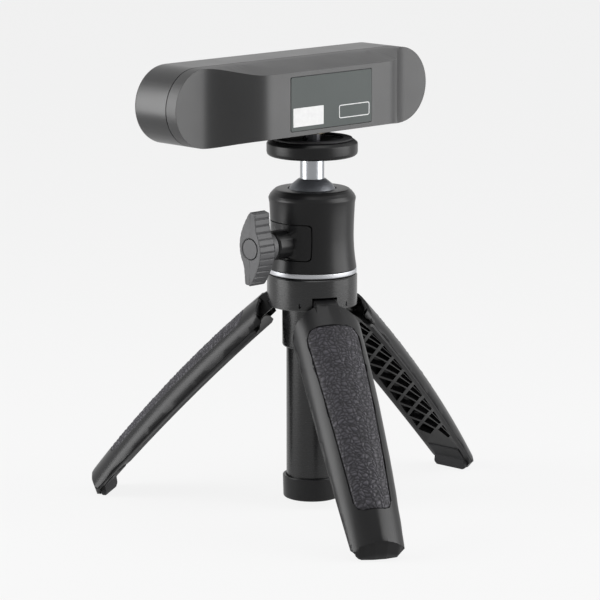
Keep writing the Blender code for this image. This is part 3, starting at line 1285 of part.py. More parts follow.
def main():
    clear_scene()
    looks = {
        "housing": material("housing", (0.055, 0.056, 0.058), 0.38, 0.3),
        "cover": material("cover", (0.075, 0.076, 0.078), 0.36, 0.3),
        "label": material("label", (0.083, 0.102, 0.098), 0.5),
        "window": material("window", (0.01, 0.01, 0.012), 0.08),
        "lens": material("lens", (0.02, 0.02, 0.03), 0.15),
        "lamp": material("lamp", (0.8, 0.78, 0.6), 0.3),
        "sheet": material("sheet", (0.3, 0.3, 0.31), 0.35, 0.9),
        "board": material("board", (0.02, 0.09, 0.04), 0.5),
        "bright": material("bright", (0.7, 0.71, 0.73), 0.22, 1.0),
        "brass": material("brass", (0.72, 0.53, 0.22), 0.3, 1.0),
        "head": material("head", (0.045, 0.045, 0.047), 0.33, 0.5),
        "rubber": material("rubber", (0.015, 0.015, 0.016), 0.8),
        "ball": material("ball", (0.14, 0.145, 0.16), 0.4, 0.8),
        "knob": material("knob", (0.12, 0.12, 0.122), 0.5),
        "tube": material("tube", (0.05, 0.05, 0.052), 0.3, 0.7),
        "plastic": material("plastic", (0.04, 0.04, 0.042), 0.42),
        "frame": material("frame", (0.06, 0.06, 0.062), 0.5),
        "leather": material("leather", (0.06, 0.057, 0.065), 0.65),
    }
    base = empty("tripod_base", Matrix.Identity(4))
    mast_lower = empty("mast_lower_slide", Matrix.Translation((0, 0, COLUMN_BOTTOM)))
    mast_upper = empty("mast_upper_slide", Matrix.Translation((0, 0, COLUMN_BOTTOM)))
    head = empty("head_pan", Matrix.Translation((0, 0, HEAD_BOTTOM)))
    tilt = empty("ball_tilt", Matrix.Translation((0, 0, BALL_LEVEL)))
    spin = empty("ball_spin", Matrix.Translation((0, 0, BALL_LEVEL)))
    knob = empty("knob_turn", Matrix.Translation((knob_face(), 0, KNOB_LEVEL)))
    hang([mast_lower], base)
    hang([mast_upper], mast_lower)
    hang([head], mast_upper)
    hang([tilt, knob], head)
    hang([spin], tilt)

    hang([make_hub(looks["tube"])] + make_pins(looks["bright"]) + make_column(looks), base)
    low = COLUMN_BOTTOM + MAST_LOWER_INSET
    hang(make_mast("mast_lower", MAST_LOWER_RADIUS, low, HUB_TOP, COLUMN_BORE, looks), mast_lower)
    low += MAST_UPPER_INSET
    hang(make_mast("mast_upper", MAST_UPPER_RADIUS, low, HUB_TOP, MAST_LOWER_BORE, looks), mast_upper)
    hang(make_head_base(looks), mast_upper)
    hang(make_head(looks) + [make_seat(looks["rubber"]), make_brake(looks["sheet"])], head)
    hang(make_knob(looks), knob)
    hang([make_ball(looks["ball"])], tilt)
    hang(make_plate(looks) + make_scanner(looks), spin)
    make_legs(looks, base)
    centre_on_footprint(base)


main()
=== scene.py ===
"""A bar-shaped three-d scanner on its mini tripod, dressed for rendering.

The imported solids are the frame. Each operator below dresses one piece or one group of like
pieces, and the stage operator adds the floor, the lamps and the camera.
"""

import json
import math

import bmesh
import bpy
import numpy as np
from bpy.props import FloatProperty, FloatVectorProperty, PointerProperty
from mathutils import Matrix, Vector

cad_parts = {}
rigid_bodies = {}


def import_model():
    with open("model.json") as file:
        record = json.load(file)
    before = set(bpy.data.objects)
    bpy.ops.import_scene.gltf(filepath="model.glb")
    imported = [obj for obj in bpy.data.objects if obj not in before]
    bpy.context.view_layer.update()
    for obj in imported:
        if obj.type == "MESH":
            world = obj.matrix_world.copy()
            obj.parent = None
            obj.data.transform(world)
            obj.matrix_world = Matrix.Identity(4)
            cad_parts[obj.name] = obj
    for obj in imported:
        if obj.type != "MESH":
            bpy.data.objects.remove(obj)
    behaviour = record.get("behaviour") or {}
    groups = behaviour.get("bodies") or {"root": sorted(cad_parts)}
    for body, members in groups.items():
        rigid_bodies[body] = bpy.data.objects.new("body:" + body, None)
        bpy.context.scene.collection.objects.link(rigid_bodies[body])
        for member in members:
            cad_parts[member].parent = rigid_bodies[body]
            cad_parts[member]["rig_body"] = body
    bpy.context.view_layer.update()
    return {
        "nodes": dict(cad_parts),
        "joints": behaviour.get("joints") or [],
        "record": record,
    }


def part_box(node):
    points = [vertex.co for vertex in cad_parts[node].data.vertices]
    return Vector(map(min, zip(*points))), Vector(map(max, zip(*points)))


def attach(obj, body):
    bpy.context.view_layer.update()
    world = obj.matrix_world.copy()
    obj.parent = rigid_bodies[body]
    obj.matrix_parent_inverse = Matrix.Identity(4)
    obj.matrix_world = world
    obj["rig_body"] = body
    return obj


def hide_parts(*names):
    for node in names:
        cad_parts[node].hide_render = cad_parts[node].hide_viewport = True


bl_info = {
    "name": "Scanner on a mini tripod",
    "version": (1, 0, 0),
    "blender": (4, 5, 0),
    "location": "View3D > Sidebar > Scanner",
    "description": "Dresses a bar-shaped three-d scanner and its mini tripod",
    "category": "Object",
}

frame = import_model()
record = frame["record"]
joints = {joint["name"]: joint for joint in frame["joints"]}

LEGS = ("front", "right", "left")
MM = 0.001


# The places that come from the frame

def low(node):
    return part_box(node)[0]


def high(node):
    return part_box(node)[1]


def middle(node):
    return (low(node) + high(node)) / 2


def half_size(node):
    return (high(node) - low(node)) / 2


AXIS = Vector(joints["head_pan"]["pos_m"]).xy
KNOB_AXIS = Vector(joints["knob_turn"]["pos_m"])


# What a user may change

class ScannerLook(bpy.types.PropertyGroup):
    """Colours and finishes of the scanner and its tripod."""

    cover_colour: FloatVectorProperty(
        name="Cover", description="Moulded rear cover of the scanner", subtype="COLOR",
        default=(0.018, 0.018, 0.0184), min=0, max=1)
    housing_colour: FloatVectorProperty(
        name="Housing", description="Moulded front housing of the scanner", subtype="COLOR",
        default=(0.014, 0.014, 0.0144), min=0, max=1)
    label_colour: FloatVectorProperty(
        name="Label", description="Film of the bare label", subtype="COLOR",
        default=(0.026, 0.034, 0.032), min=0, max=1)
    metal_colour: FloatVectorProperty(
        name="Black metal", description="Anodised head, hub and column", subtype="COLOR",
        default=(0.006, 0.006, 0.0063), min=0, max=1)
    plastic_colour: FloatVectorProperty(
        name="Leg plastic", description="Moulded shells and frames of the legs", subtype="COLOR",
        default=(0.007, 0.007, 0.0074), min=0, max=1)
    leather_colour: FloatVectorProperty(
        name="Inlay", description="Leather-grained inlay of the legs", subtype="COLOR",
        default=(0.042, 0.04, 0.047), min=0, max=1)
    grain_size: FloatProperty(
        name="Inlay grain", description="Width of one cell of the inlay's grain", unit="LENGTH",
        default=1.15 * MM, min=0.5 * MM, max=4 * MM)


class StageLook(bpy.types.PropertyGroup):
    """The camera's place and the light."""

    camera_angle: FloatProperty(
        name="Camera angle", description="Plan angle of the camera from the X axis",
        subtype="ANGLE", default=math.radians(45.81))
    camera_reach: FloatProperty(
        name="Camera reach", description="Plan distance from the tripod's axis to the camera",
        unit="LENGTH", default=1.1006)
    camera_height: FloatProperty(
        name="Camera height", description="Height of the camera over the floor",
        unit="LENGTH", default=0.2861)
    camera_pitch: FloatProperty(
        name="Camera pitch", description="Angle by which the camera looks down",
        subtype="ANGLE", default=math.radians(10.98))
    camera_yaw: FloatProperty(
        name="Camera yaw", description="Angle by which the camera looks past the axis",
        subtype="ANGLE", default=math.radians(0.2175))
    focal_length: FloatProperty(
        name="Focal length", description="Lens on a 36 mm sensor", default=194.4, min=20)
    ground_colour: FloatVectorProperty(
        name="Ground", description="Floor and backdrop as the camera sees them",
        subtype="COLOR", default=(0.922, 0.922, 0.922), min=0, max=1)
    ground_evenness: FloatProperty(
        name="Evenness", description="Share of the ground that keeps out of the shadow",
        default=0.94, min=0, max=1)


# Shader building blocks

CLOUD_SCALE = 70.0
PORE_SCALE = 4200.0
LINE_STRETCH = (120.0, 120.0, 9000.0)


def node_group(name, **numbers):
    """An empty surface group; numbers maps each number input of its own to its default.

    Every group takes a vector, a colour and a roughness, and gives a colour, a roughness and a
    height.
    """
    group = bpy.data.node_groups.new(name, "ShaderNodeTree")
    socket = group.interface.new_socket
    socket("Vector", in_out="INPUT", socket_type="NodeSocketVector")
    for direction in ("INPUT", "OUTPUT"):
        socket("Colour", in_out=direction, socket_type="NodeSocketColor")
        socket("Roughness", in_out=direction, socket_type="NodeSocketFloat")
    for label, default in numbers.items():
        made = socket(label.replace("_", " ").title(), in_out="INPUT",
                      socket_type="NodeSocketFloat")
        made.default_value = default
    socket("Height", in_out="OUTPUT", socket_type="NodeSocketFloat")
    return group, group.nodes.new("NodeGroupInput"), group.nodes.new("NodeGroupOutput")


def wire(tree, source, target):
    tree.links.new(source, target)


def noise(tree, vector, scale, detail=2.0, roughness=0.5):
    """A noise node on a vector; scale is a number or a socket."""
    made = tree.nodes.new("ShaderNodeTexNoise")
    made.inputs["Detail"].default_value = detail
    made.inputs["Roughness"].default_value = roughness
    wire(tree, vector, made.inputs["Vector"])
    if isinstance(scale, (int, float)):
        made.inputs["Scale"].default_value = scale
    else:
        wire(tree, scale, made.inputs["Scale"])
    return made.outputs["Fac"]


def calculated(tree, operation, *values):
    """A math node; each value is a number or a socket."""
    made = tree.nodes.new("ShaderNodeMath")
    made.operation = operation
    for slot, value in zip(made.inputs, values):
        if isinstance(value, (int, float)):
            slot.default_value = value
        else:
            wire(tree, value, slot)
    return made.outputs[0]


def spread(tree, value, low_in, high_in, low_out, high_out):
    """A map range node from one span to another."""
    made = tree.nodes.new("ShaderNodeMapRange")
    wire(tree, value, made.inputs["Value"])
    for label, given in (("From Min", low_in), ("From Max", high_in),
                         ("To Min", low_out), ("To Max", high_out)):
        if isinstance(given, (int, float)):
            made.inputs[label].default_value = given
        else:
            wire(tree, given, made.inputs[label])
    return made.outputs["Result"]


def shaded(tree, colour, factor):
    """A colour multiplied by a grey factor."""
    made = tree.nodes.new("ShaderNodeVectorMath")
    made.operation = "SCALE"
    wire(tree, colour, made.inputs[0])
    wire(tree, factor, made.inputs["Scale"])
    return made.outputs[0]


def satin_group():
    """Moulded or anodised surface: fine grain in its height, soft clouds in its roughness."""
    group, given, out = node_group("satin_surface", grain_scale=2500.0, cloud=0.05)
    vector = given.outputs["Vector"]
    grain = noise(group, vector, given.outputs["Grain Scale"], 3.0, 0.6)
    clouds = noise(group, vector, CLOUD_SCALE, 3.0, 0.55)
    rough = calculated(group, "MULTIPLY", calculated(group, "SUBTRACT", clouds, 0.5),
                       calculated(group, "MULTIPLY", given.outputs["Cloud"], 2.0))
    rough = calculated(group, "ADD", rough, given.outputs["Roughness"])
    tint = spread(group, grain, 0.2, 0.8, 0.93, 1.07)
    wire(group, shaded(group, given.outputs["Colour"], tint), out.inputs["Colour"])
    wire(group, rough, out.inputs["Roughness"])
    wire(group, grain, out.inputs["Height"])
    return group


def brushed_group():
    """Turned or drawn metal: fine lines across one direction in height and roughness."""
    group, given, out = node_group("brushed_surface", line_scale=1.0, depth=0.06)
    stretch = group.nodes.new("ShaderNodeVectorMath")
    stretch.operation = "MULTIPLY"
    wire(group, given.outputs["Vector"], stretch.inputs[0])
    stretch.inputs[1].default_value = LINE_STRETCH
    lines = noise(group, stretch.outputs[0], given.outputs["Line Scale"], 2.0, 0.6)
    rough = calculated(group, "MULTIPLY", calculated(group, "SUBTRACT", lines, 0.5),
                       given.outputs["Depth"])
    rough = calculated(group, "ADD", rough, given.outputs["Roughness"])
    tint = spread(group, lines, 0.25, 0.75, 0.95, 1.05)
    wire(group, shaded(group, given.outputs["Colour"], tint), out.inputs["Colour"])
    wire(group, rough, out.inputs["Roughness"])
    wire(group, lines, out.inputs["Height"])
    return group


def leather_group():
    """Pressed leather: the height of the mesh's own grain sets painted shade in its creases and a
    painted highlight on its cells, and pores cover its cells.
    """
    group, given, out = node_group("leather_grain_and_shade")
    cells = group.nodes.new("ShaderNodeAttribute")
    cells.attribute_name = "grain"
    pores = noise(group, given.outputs["Vector"], PORE_SCALE, 2.0, 0.6)
    raised = calculated(group, "ADD", calculated(group, "MULTIPLY", cells.outputs["Fac"], 0.8),
                        calculated(group, "MULTIPLY", pores, 0.3))
    # Painted shade in the creases and a painted highlight on the raised cells, with a speckle from
    # the pores, scale the colour.
    tint = spread(group, raised, 0.15, 0.95, 0.12, 1.35)
    wire(group, shaded(group, given.outputs["Colour"], tint), out.inputs["Colour"])
    worn = spread(group, raised, 0.1, 0.95, 0.25, -0.12)
    wire(group, calculated(group, "ADD", given.outputs["Roughness"], worn), out.inputs["Roughness"])
    wire(group, pores, out.inputs["Height"])
    return group


GROUPS = {}
LOOKS = {}


def surface_group(kind):
    """The shared node group of a kind, built when it is first asked for."""
    makers = {"satin": satin_group, "brushed": brushed_group, "leather": leather_group}
    if kind not in GROUPS:
        GROUPS[kind] = makers[kind]()
    return GROUPS[kind]


def finish(name, kind, colour, roughness, bump, metallic=0.0, **plain):
    """Adds a material to the looks: one shared surface group feeding a Principled shader.

    plain holds the shader's own sockets, and the group's by names such as grain_scale.
    """
    material = bpy.data.materials.new(name)
    material.use_nodes = True
    tree = material.node_tree
    shader = tree.nodes["Principled BSDF"]
    place = tree.nodes.new("ShaderNodeTexCoord")
    surface = tree.nodes.new("ShaderNodeGroup")
    surface.node_tree = surface_group(kind)
    wire(tree, place.outputs["Object"], surface.inputs["Vector"])
    surface.inputs["Colour"].default_value = (*colour, 1)
    surface.inputs["Roughness"].default_value = roughness
    relief = tree.nodes.new("ShaderNodeBump")
    relief.inputs["Distance"].default_value = bump
    relief.inputs["Strength"].default_value = 1.0
    wire(tree, surface.outputs["Height"], relief.inputs["Height"])
    wire(tree, relief.outputs["Normal"], shader.inputs["Normal"])
    wire(tree, surface.outputs["Colour"], shader.inputs["Base Color"])
    wire(tree, surface.outputs["Roughness"], shader.inputs["Roughness"])
    shader.inputs["Metallic"].default_value = metallic
    for label, value in plain.items():
        label = label.replace("_", " ").title().replace("Ior", "IOR")
        holder = surface if label in surface.inputs else shader
        holder.inputs[label].default_value = value
    LOOKS[name] = material


# Mesh building blocks

SMOOTH_LIMIT = 30
FACE_WEIGHT = 90
POLE_REACH = 1e-7
JOIN_REACH = 1e-6
CUT_REACH = 2e-6
MERGE_REACH = 5e-6
FLAT_LIMIT = 0.4
TURNED_STEPS = 28
# Widths of the rounded edges: moulded and turned pieces, thin ones, and sharp ones
EDGE, THIN_EDGE, SHARP_EDGE = 0.0003, 0.0002, 0.0001


def mesh_object(name, mesh, body, material, slot, *nodes):
    """Puts a finished mesh in the scene: it rides on a body, and stands for the nodes named."""
    piece = bpy.data.objects.new(name, mesh)
    bpy.context.scene.collection.objects.link(piece)
    piece.data.materials.append(LOOKS[material])
    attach(piece, body)
    if nodes:
        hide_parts(*nodes)
    return piece


def weighted(piece, limit=SMOOTH_LIMIT):
    """Smooth shading between the edges sharper than the limit, weighted by face area."""
    piece.data.shade_smooth()
    piece.data.set_sharp_from_angle(angle=math.radians(limit))
    weigh = piece.modifiers.new("normals", "WEIGHTED_NORMAL")
    weigh.keep_sharp = True
    weigh.weight = FACE_WEIGHT
    return piece


def grid_faces(rows, columns):
    """Four-sided faces between the rows of a grid whose last column meets its first."""
    near = np.arange(rows * columns).reshape(rows, columns)
    beside = np.roll(near, -1, axis=1)
    return np.stack([near[:-1], beside[:-1], beside[1:], near[1:]], axis=-1).reshape(-1, 4)


def lathe_like(name, rings):
    """A closed mesh over a stack of equal rings of points, with a face over each end."""
    rows, columns = rings.shape[:2]
    faces = grid_faces(rows, columns).tolist()
    faces.append(list(range(columns)))
    faces.append(list(range((rows - 1) * columns, rows * columns)))
    mesh = bpy.data.meshes.new(name)
    mesh.from_pydata(rings.reshape(-1, 3).tolist(), [], faces)
    build = bmesh.new()
    build.from_mesh(mesh)
    bmesh.ops.remove_doubles(build, verts=build.verts, dist=POLE_REACH)
    bmesh.ops.recalc_face_normals(build, faces=build.faces)
    build.to_mesh(mesh)
    build.free()
    return mesh


def around(centre, steps, shares):
    """Planes through an upright axis that cut each side of a turning into equal shares."""
    count = steps * shares // 2
    turns = np.arange(count) * math.pi / count + math.pi / 2
    return [(centre, (math.cos(turn), math.sin(turn), 0)) for turn in turns]


def on_circle(points, centre, steps, plane=(0, 1)):
    """Moves the points of a turning with flat sides out to its true circle.

    A point on one of n flat sides falls short of the circle by cos(pi / n) / cos(b), where b is
    its angle from the middle of that side.
    """
    across, along = (points[:, axis] - centre[axis] for axis in plane)
    side = 2 * math.pi / steps
    turn = np.mod(np.arctan2(along, across), side) - side / 2
    grow = np.cos(turn) / math.cos(side / 2)
    moved = points.copy()
    for axis, reach in zip(plane, (across, along)):
        moved[:, axis] = centre[axis] + reach * grow
    return moved


def refined(node, width, cuts, moved, segments, limit):
    """A copy of a CAD node's mesh with round edges and finer facets.

    The loose triangles are joined, the sharp edges are bevelled, the planes given cut the long
    facets, and moved takes all points as one array and lays them on the true curve.
    """
    build = bmesh.new()
    build.from_mesh(frame["nodes"][node].data)
    bmesh.ops.remove_doubles(build, verts=build.verts, dist=JOIN_REACH)
    bmesh.ops.dissolve_limit(build, angle_limit=math.radians(FLAT_LIMIT), verts=build.verts,
                             edges=build.edges, delimit={"NORMAL"})
    if width:
        sharp = [edge for edge in build.edges if edge.calc_face_angle(0) > math.radians(limit)]
        bmesh.ops.bevel(build, geom=sharp, offset=width, segments=segments, profile=0.5,
                        affect="EDGES", clamp_overlap=True)
    for place, normal in cuts:
        whole = build.verts[:] + build.edges[:] + build.faces[:]
        bmesh.ops.bisect_plane(build, geom=whole, dist=CUT_REACH, plane_co=place,
                               plane_no=normal)
    bmesh.ops.remove_doubles(build, verts=build.verts, dist=MERGE_REACH)
    mesh = bpy.data.meshes.new(f"{node}_skin")
    build.to_mesh(mesh)
    build.free()
    if moved:
        points = np.empty(len(mesh.vertices) * 3)
        mesh.vertices.foreach_get("co", points)
        mesh.vertices.foreach_set("co", moved(points.reshape(-1, 3)).ravel())
        mesh.update()
    return mesh


def dressed(node, material, width=0.0, cuts=(), moved=None, segments=2, limit=SMOOTH_LIMIT,
            facing=None):
    """A CAD node's own shape, refined, with a finish of its own.

    facing takes all points and gives the true surface's normals, and zeros off that surface.
    """
    slot = next(part["material_slot"] for part in record["subparts"] if part["node"] == node)
    body = frame["nodes"][node]["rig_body"]
    mesh = refined(node, width, cuts, moved, segments, limit)
    piece = mesh_object(f"{node}_skin", mesh, body, material, slot, node)
    return directed(piece, facing) if facing else weighted(piece)


def directed(piece, facing):
    """Shades a piece by its true surface's normals, and by area-weighted ones elsewhere."""
    mesh = piece.data
    mesh.shade_smooth()
    count = len(mesh.vertices)
    points = np.empty(count * 3)
    mesh.vertices.foreach_get("co", points)
    corners = np.empty(len(mesh.loops), dtype=np.int64)
    mesh.loops.foreach_get("vertex_index", corners)
    flat, area = np.empty(len(mesh.polygons) * 3), np.empty(len(mesh.polygons))
    mesh.polygons.foreach_get("normal", flat)
    mesh.polygons.foreach_get("area", area)
    sizes = np.empty(len(mesh.polygons), dtype=np.int64)
    mesh.polygons.foreach_get("loop_total", sizes)
    weight = np.repeat(flat.reshape(-1, 3) * area[:, None], sizes, axis=0)
    normals = np.stack([np.bincount(corners, column, count) for column in weight.T], axis=-1)
    true = facing(points.reshape(-1, 3))
    known = np.abs(true).sum(axis=1) > 0
    agree = (normals * true).sum(axis=1) > 0
    normals[known & agree] = true[known & agree]
    normals /= np.clip(np.linalg.norm(normals, axis=1, keepdims=True), 1e-12, None)
    mesh.normals_split_custom_set_from_vertices(normals.tolist())
    return piece


def turned(node, material, width, steps=TURNED_STEPS, shares=3):
    """A CAD turning about the tripod's axis, its flat sides cut into shares, on its circle."""
    centre = (AXIS.x, AXIS.y, 0)
    return dressed(node, material, width, around(centre, steps, shares),
                   lambda points: on_circle(points, centre, steps))


# Stage

FLOOR_REACH = 4.0
AMBIENT = 0.12
# Each lamp's name, its plan angle in degrees, its distance and height, its size and its power
LAMPS = (("left_lamp", -34, 0.5, 0.3, (0.3, 0.6), 4.6),
         ("right_lamp", 127, 0.5, 0.3, (0.44, 0.6), 4.6),
         ("top_lamp", 0, 0.02, 1.3, (0.8, 0.8), 5.0))


def area_lamp(name, place, target, size, power):
    """A soft rectangular lamp that faces a point."""
    lamp = bpy.data.lights.new(name, "AREA")
    lamp.shape = "RECTANGLE"
    lamp.size, lamp.size_y = size
    lamp.energy = power
    holder = bpy.data.objects.new(name, lamp)
    bpy.context.scene.collection.objects.link(holder)
    holder.location = place
    holder.rotation_euler = (Vector(target) - Vector(place)).to_track_quat("-Z", "Y").to_euler()


def pale_rays(tree):
    """1 for the rays that should meet the plain pale ground: camera, glossy and transmission."""
    path = tree.nodes.new("ShaderNodeLightPath")
    seen = calculated(tree, "MAXIMUM", path.outputs["Is Camera Ray"], path.outputs["Is Glossy Ray"])
    return calculated(tree, "MAXIMUM", seen, path.outputs["Is Transmission Ray"])


def ground_material(colour, evenness):
    """Pale ground: mostly its own even colour to the camera and in gloss, with a soft shadow."""
    material = bpy.data.materials.new("ground")
    material.use_nodes = True
    tree = material.node_tree
    shader = tree.nodes["Principled BSDF"]
    shader.inputs["Roughness"].default_value = 1.0
    shader.inputs["Specular IOR Level"].default_value = 0.0
    shader.inputs["Base Color"].default_value = (*colour, 1)
    even = tree.nodes.new("ShaderNodeEmission")
    even.inputs["Color"].default_value = (*colour, 1)
    mix = tree.nodes.new("ShaderNodeMixShader")
    wire(tree, calculated(tree, "MULTIPLY", pale_rays(tree), evenness), mix.inputs["Fac"])
    wire(tree, shader.outputs[0], mix.inputs[1])
    wire(tree, even.outputs[0], mix.inputs[2])
    wire(tree, mix.outputs[0], tree.nodes["Material Output"].inputs["Surface"])
    return material


class SCANNER_OT_stage(bpy.types.Operator):
    """Add the pale ground, the soft lamps, the world and the camera"""

    bl_idname = "scanner.stage"
    bl_label = "Stage"

    def execute(self, context):
        look = context.scene.stage_look
        floor = bpy.data.meshes.new("floor")
        corners = ((-1, -1), (1, -1), (1, 1), (-1, 1))
        floor.from_pydata([(x * FLOOR_REACH, y * FLOOR_REACH, 0) for x, y in corners], [],
                          [(0, 1, 2, 3)])
        ground = bpy.data.objects.new("floor", floor)
        context.scene.collection.objects.link(ground)
        floor.materials.append(ground_material(look.ground_colour, look.ground_evenness))
        self.light(context, look)
        self.camera(context, look)
        context.scene.view_settings.view_transform = "Standard"
        return {"FINISHED"}

    def light(self, context, look):
        world = bpy.data.worlds.new("studio")
        world.use_nodes = True
        tree = world.node_tree
        back = tree.nodes["Background"]
        back.inputs["Color"].default_value = (*look.ground_colour, 1)
        ambient = spread(tree, pale_rays(tree), 0.0, 1.0, AMBIENT, 1.0)
        wire(tree, ambient, back.inputs["Strength"])
        context.scene.world = world
        for name, turn, reach, height, size, power in LAMPS:
            angle = math.radians(turn)
            place = (AXIS.x + reach * math.cos(angle), AXIS.y + reach * math.sin(angle), height)
            target = (AXIS.x, AXIS.y, height if reach > height else 0)
            area_lamp(name, place, target, size, power)

    def camera(self, context, look):
        lens = bpy.data.cameras.new("camera")
        lens.lens = look.focal_length
        lens.sensor_width = 36.0
        lens.clip_start, lens.clip_end = 0.05, 20
        holder = bpy.data.objects.new("camera", lens)
        context.scene.collection.objects.link(holder)
        turn = look.camera_angle
        holder.location = (AXIS.x + look.camera_reach * math.cos(turn),
                           AXIS.y + look.camera_reach * math.sin(turn), look.camera_height)
        holder.rotation_euler = (math.radians(90) - look.camera_pitch, 0,
                                 turn + math.radians(90) + look.camera_yaw)
        context.scene.camera = holder


# Finishes

class SCANNER_OT_finishes(bpy.types.Operator):
    """Make every finish of the scanner and the tripod, and give each CAD node its own"""

    bl_idname = "scanner.finishes"
    bl_label = "Finishes"

    def execute(self, context):
        look = context.scene.scanner_look
        black = tuple(look.metal_colour)
        plastic = tuple(look.plastic_colour)
        dim = {"specular_ior_level": 0.3}
        faint = {"specular_ior_level": 0.2}
        finish("housing", "satin", tuple(look.housing_colour), 0.34, 4e-6, grain_scale=3200.0,
               specular_ior_level=0.38)
        finish("cover", "satin", tuple(look.cover_colour), 0.45, 5e-6, grain_scale=3200.0,
               specular_ior_level=0.42)
        finish("label", "satin", tuple(look.label_colour), 0.5, 2e-6, **dim)
        finish("print", "satin", (0.58, 0.58, 0.58), 0.6, 3e-7, grain_scale=600.0, **dim)
        finish("window", "satin", (0.01, 0.01, 0.013), 0.05, 1e-7, cloud=0.01, alpha=0.55)
        finish("lens", "satin", (0.012, 0.012, 0.02), 0.1, 1e-7, cloud=0.02, coat_weight=1.0,
               coat_roughness=0.03)
        finish("lamp", "satin", (0.7, 0.68, 0.5), 0.3, 2e-6)
        finish("sheet", "brushed", (0.3, 0.3, 0.31), 0.35, 3e-6, 1.0)
        finish("board", "satin", (0.02, 0.09, 0.04), 0.45, 3e-6)
        finish("bright", "brushed", (0.3, 0.31, 0.325), 0.3, 1e-6, 1.0)
        finish("ring", "brushed", (0.36, 0.365, 0.38), 0.5, 1e-6, 1.0)
        finish("dark_steel", "brushed", (0.06, 0.06, 0.065), 0.35, 1e-6, 1.0)
        finish("brass", "brushed", (0.09, 0.075, 0.05), 0.5, 2e-6, 1.0)
        finish("head", "brushed", black, 0.34, 2e-7, depth=0.05, **faint)
        finish("tube", "brushed", black, 0.27, 3e-7, depth=0.05, specular_ior_level=0.4)
        finish("rubber", "satin", (0.01, 0.01, 0.011), 0.7, 8e-6, **dim)
        finish("ball", "satin", (0.09, 0.095, 0.105), 0.42, 3e-6, 0.5)
        finish("knob", "satin", (0.055, 0.055, 0.057), 0.48, 7e-6, **dim)
        finish("plastic", "satin", plastic, 0.32, 4e-6, **faint)
        finish("frame", "satin", plastic, 0.45, 6e-6, **dim)
        finish("leather", "leather", tuple(look.leather_colour), 0.42, 5e-5, **faint)
        for part in record["subparts"]:
            data = frame["nodes"][part["node"]].data
            data.materials.clear()
            data.materials.append(LOOKS[part["material_slot"]])
        for node in ("hinge_pin_front", "hinge_pin_right", "hinge_pin_left", "mounting_screw"):
            frame["nodes"][node].data.materials[0] = LOOKS["dark_steel"]
        return {"FINISHED"}


# Scanner

# The solid's own rear face, in metres: its ends' flat sides, and its ramps of flat strips
END_STEPS = 24
HUMP_DEPTH = 0.0095
HUMP_HALF_FLAT = 0.0305
HUMP_RAMP = 0.0155
END_DEPTH = 0.0034
RAMP_STRIPS = 8
# The softer ramps that take their place
SOFT_RAMP = 0.0235
RAMP_CUTS = 23
SKIN_DEPTH = 0.0011
ON_SURFACE = 2e-6
COVER_EDGE, LABEL_EDGE = 0.0005, 0.00005
# The label's prints
PRINT_DEPTH, PRINT_RISE = 2e-5, 4e-5
PATCH_PLACE, PATCH_SIZE, PATCH_CORNER = (0.0081, 0.0046), (0.0142, 0.0064), 0.0002
OUTLINE_PLACE, OUTLINE_SIZE, OUTLINE_CORNER = (0.0084, 0.0048), (0.0146, 0.0046), 0.0008
OUTLINE_WIDTH = 0.0003


def end_centres():
    """The two points that the scanner's round ends turn about, seen from behind."""
    lowest, highest = low("rear_cover"), high("rear_cover")
    radius = (highest.z - lowest.z) / 2
    level = (highest.z + lowest.z) / 2
    return (lowest.x + radius, 0, level), (highest.x - radius, 0, level)


def on_ends(points):
    """Moves the points beyond either end's centre out to the end's true circle."""
    left, right = end_centres()
    moved = points.copy()
    for centre, beyond in ((left, points[:, 0] < left[0]), (right, points[:, 0] > right[0])):
        moved[beyond] = on_circle(points[beyond], centre, END_STEPS, (0, 2))
    return moved


def end_cuts():
    """Planes that cut the flat facets of both round ends into thirds."""
    count = END_STEPS * 3 // 2
    return [(centre, (math.cos(turn), 0, math.sin(turn)))
            for centre in end_centres() for turn in np.arange(count) * math.pi / count]


def rear_curve(x):
    """Where the rear face lies at x, and its slope.

    The face is flat behind the label and at both ends. Between them it rises by its whole depth
    times s s s (10 - 15 s + 6 s s), where s runs from 0 at a ramp's foot to 1 at its top.
    """
    x = x - AXIS.x
    top = HUMP_HALF_FLAT + (HUMP_RAMP - SOFT_RAMP) / 2
    s = np.clip((top + SOFT_RAMP - np.abs(x)) / SOFT_RAMP, 0, 1)
    depth = HUMP_DEPTH + END_DEPTH
    slope = -np.sign(x) * depth * 30 * (s * (1 - s)) ** 2 / SOFT_RAMP
    return high("rear_cover").y - depth * (1 - s ** 3 * (10 - 15 * s + 6 * s ** 2)), slope


def on_rear(points):
    """Moves the skin near the rear face from the solid's ramps of flat strips to the soft ones."""
    moved = on_ends(points)
    share = np.linspace(0, 1, RAMP_STRIPS + 1)
    strips = HUMP_HALF_FLAT + HUMP_RAMP * (1 - share)
    levels = (HUMP_DEPTH + END_DEPTH) * (share ** 2 * (3 - 2 * share) - 1)
    solid = np.interp(np.abs(moved[:, 0] - AXIS.x), strips[::-1], levels[::-1])
    solid += high("rear_cover").y
    soft, _ = rear_curve(moved[:, 0])
    near = np.abs(solid - moved[:, 1]) < SKIN_DEPTH
    moved[:, 1] += np.where(near, soft - solid, 0)
    return moved


def rear_facing(points):
    """Normals of the rear face's curve for the points that lie on it."""
    rear, slope = rear_curve(points[:, 0])
    normal = np.stack([-slope, np.ones(len(points)), np.zeros(len(points))], axis=-1)
    normal /= np.linalg.norm(normal, axis=1, keepdims=True)
    return np.where((np.abs(points[:, 1] - rear) < ON_SURFACE)[:, None], normal, 0.0)


def rear_cuts():
    """Upright planes that cut the ramps into narrow strips, and those of the round ends."""
    spots = HUMP_HALF_FLAT + HUMP_RAMP / 2 + SOFT_RAMP * np.linspace(-0.5, 0.5, RAMP_CUTS)
    spots = AXIS.x + np.concatenate([spots, -spots])
    return end_cuts() + [((x, 0, 0), (1, 0, 0)) for x in spots]


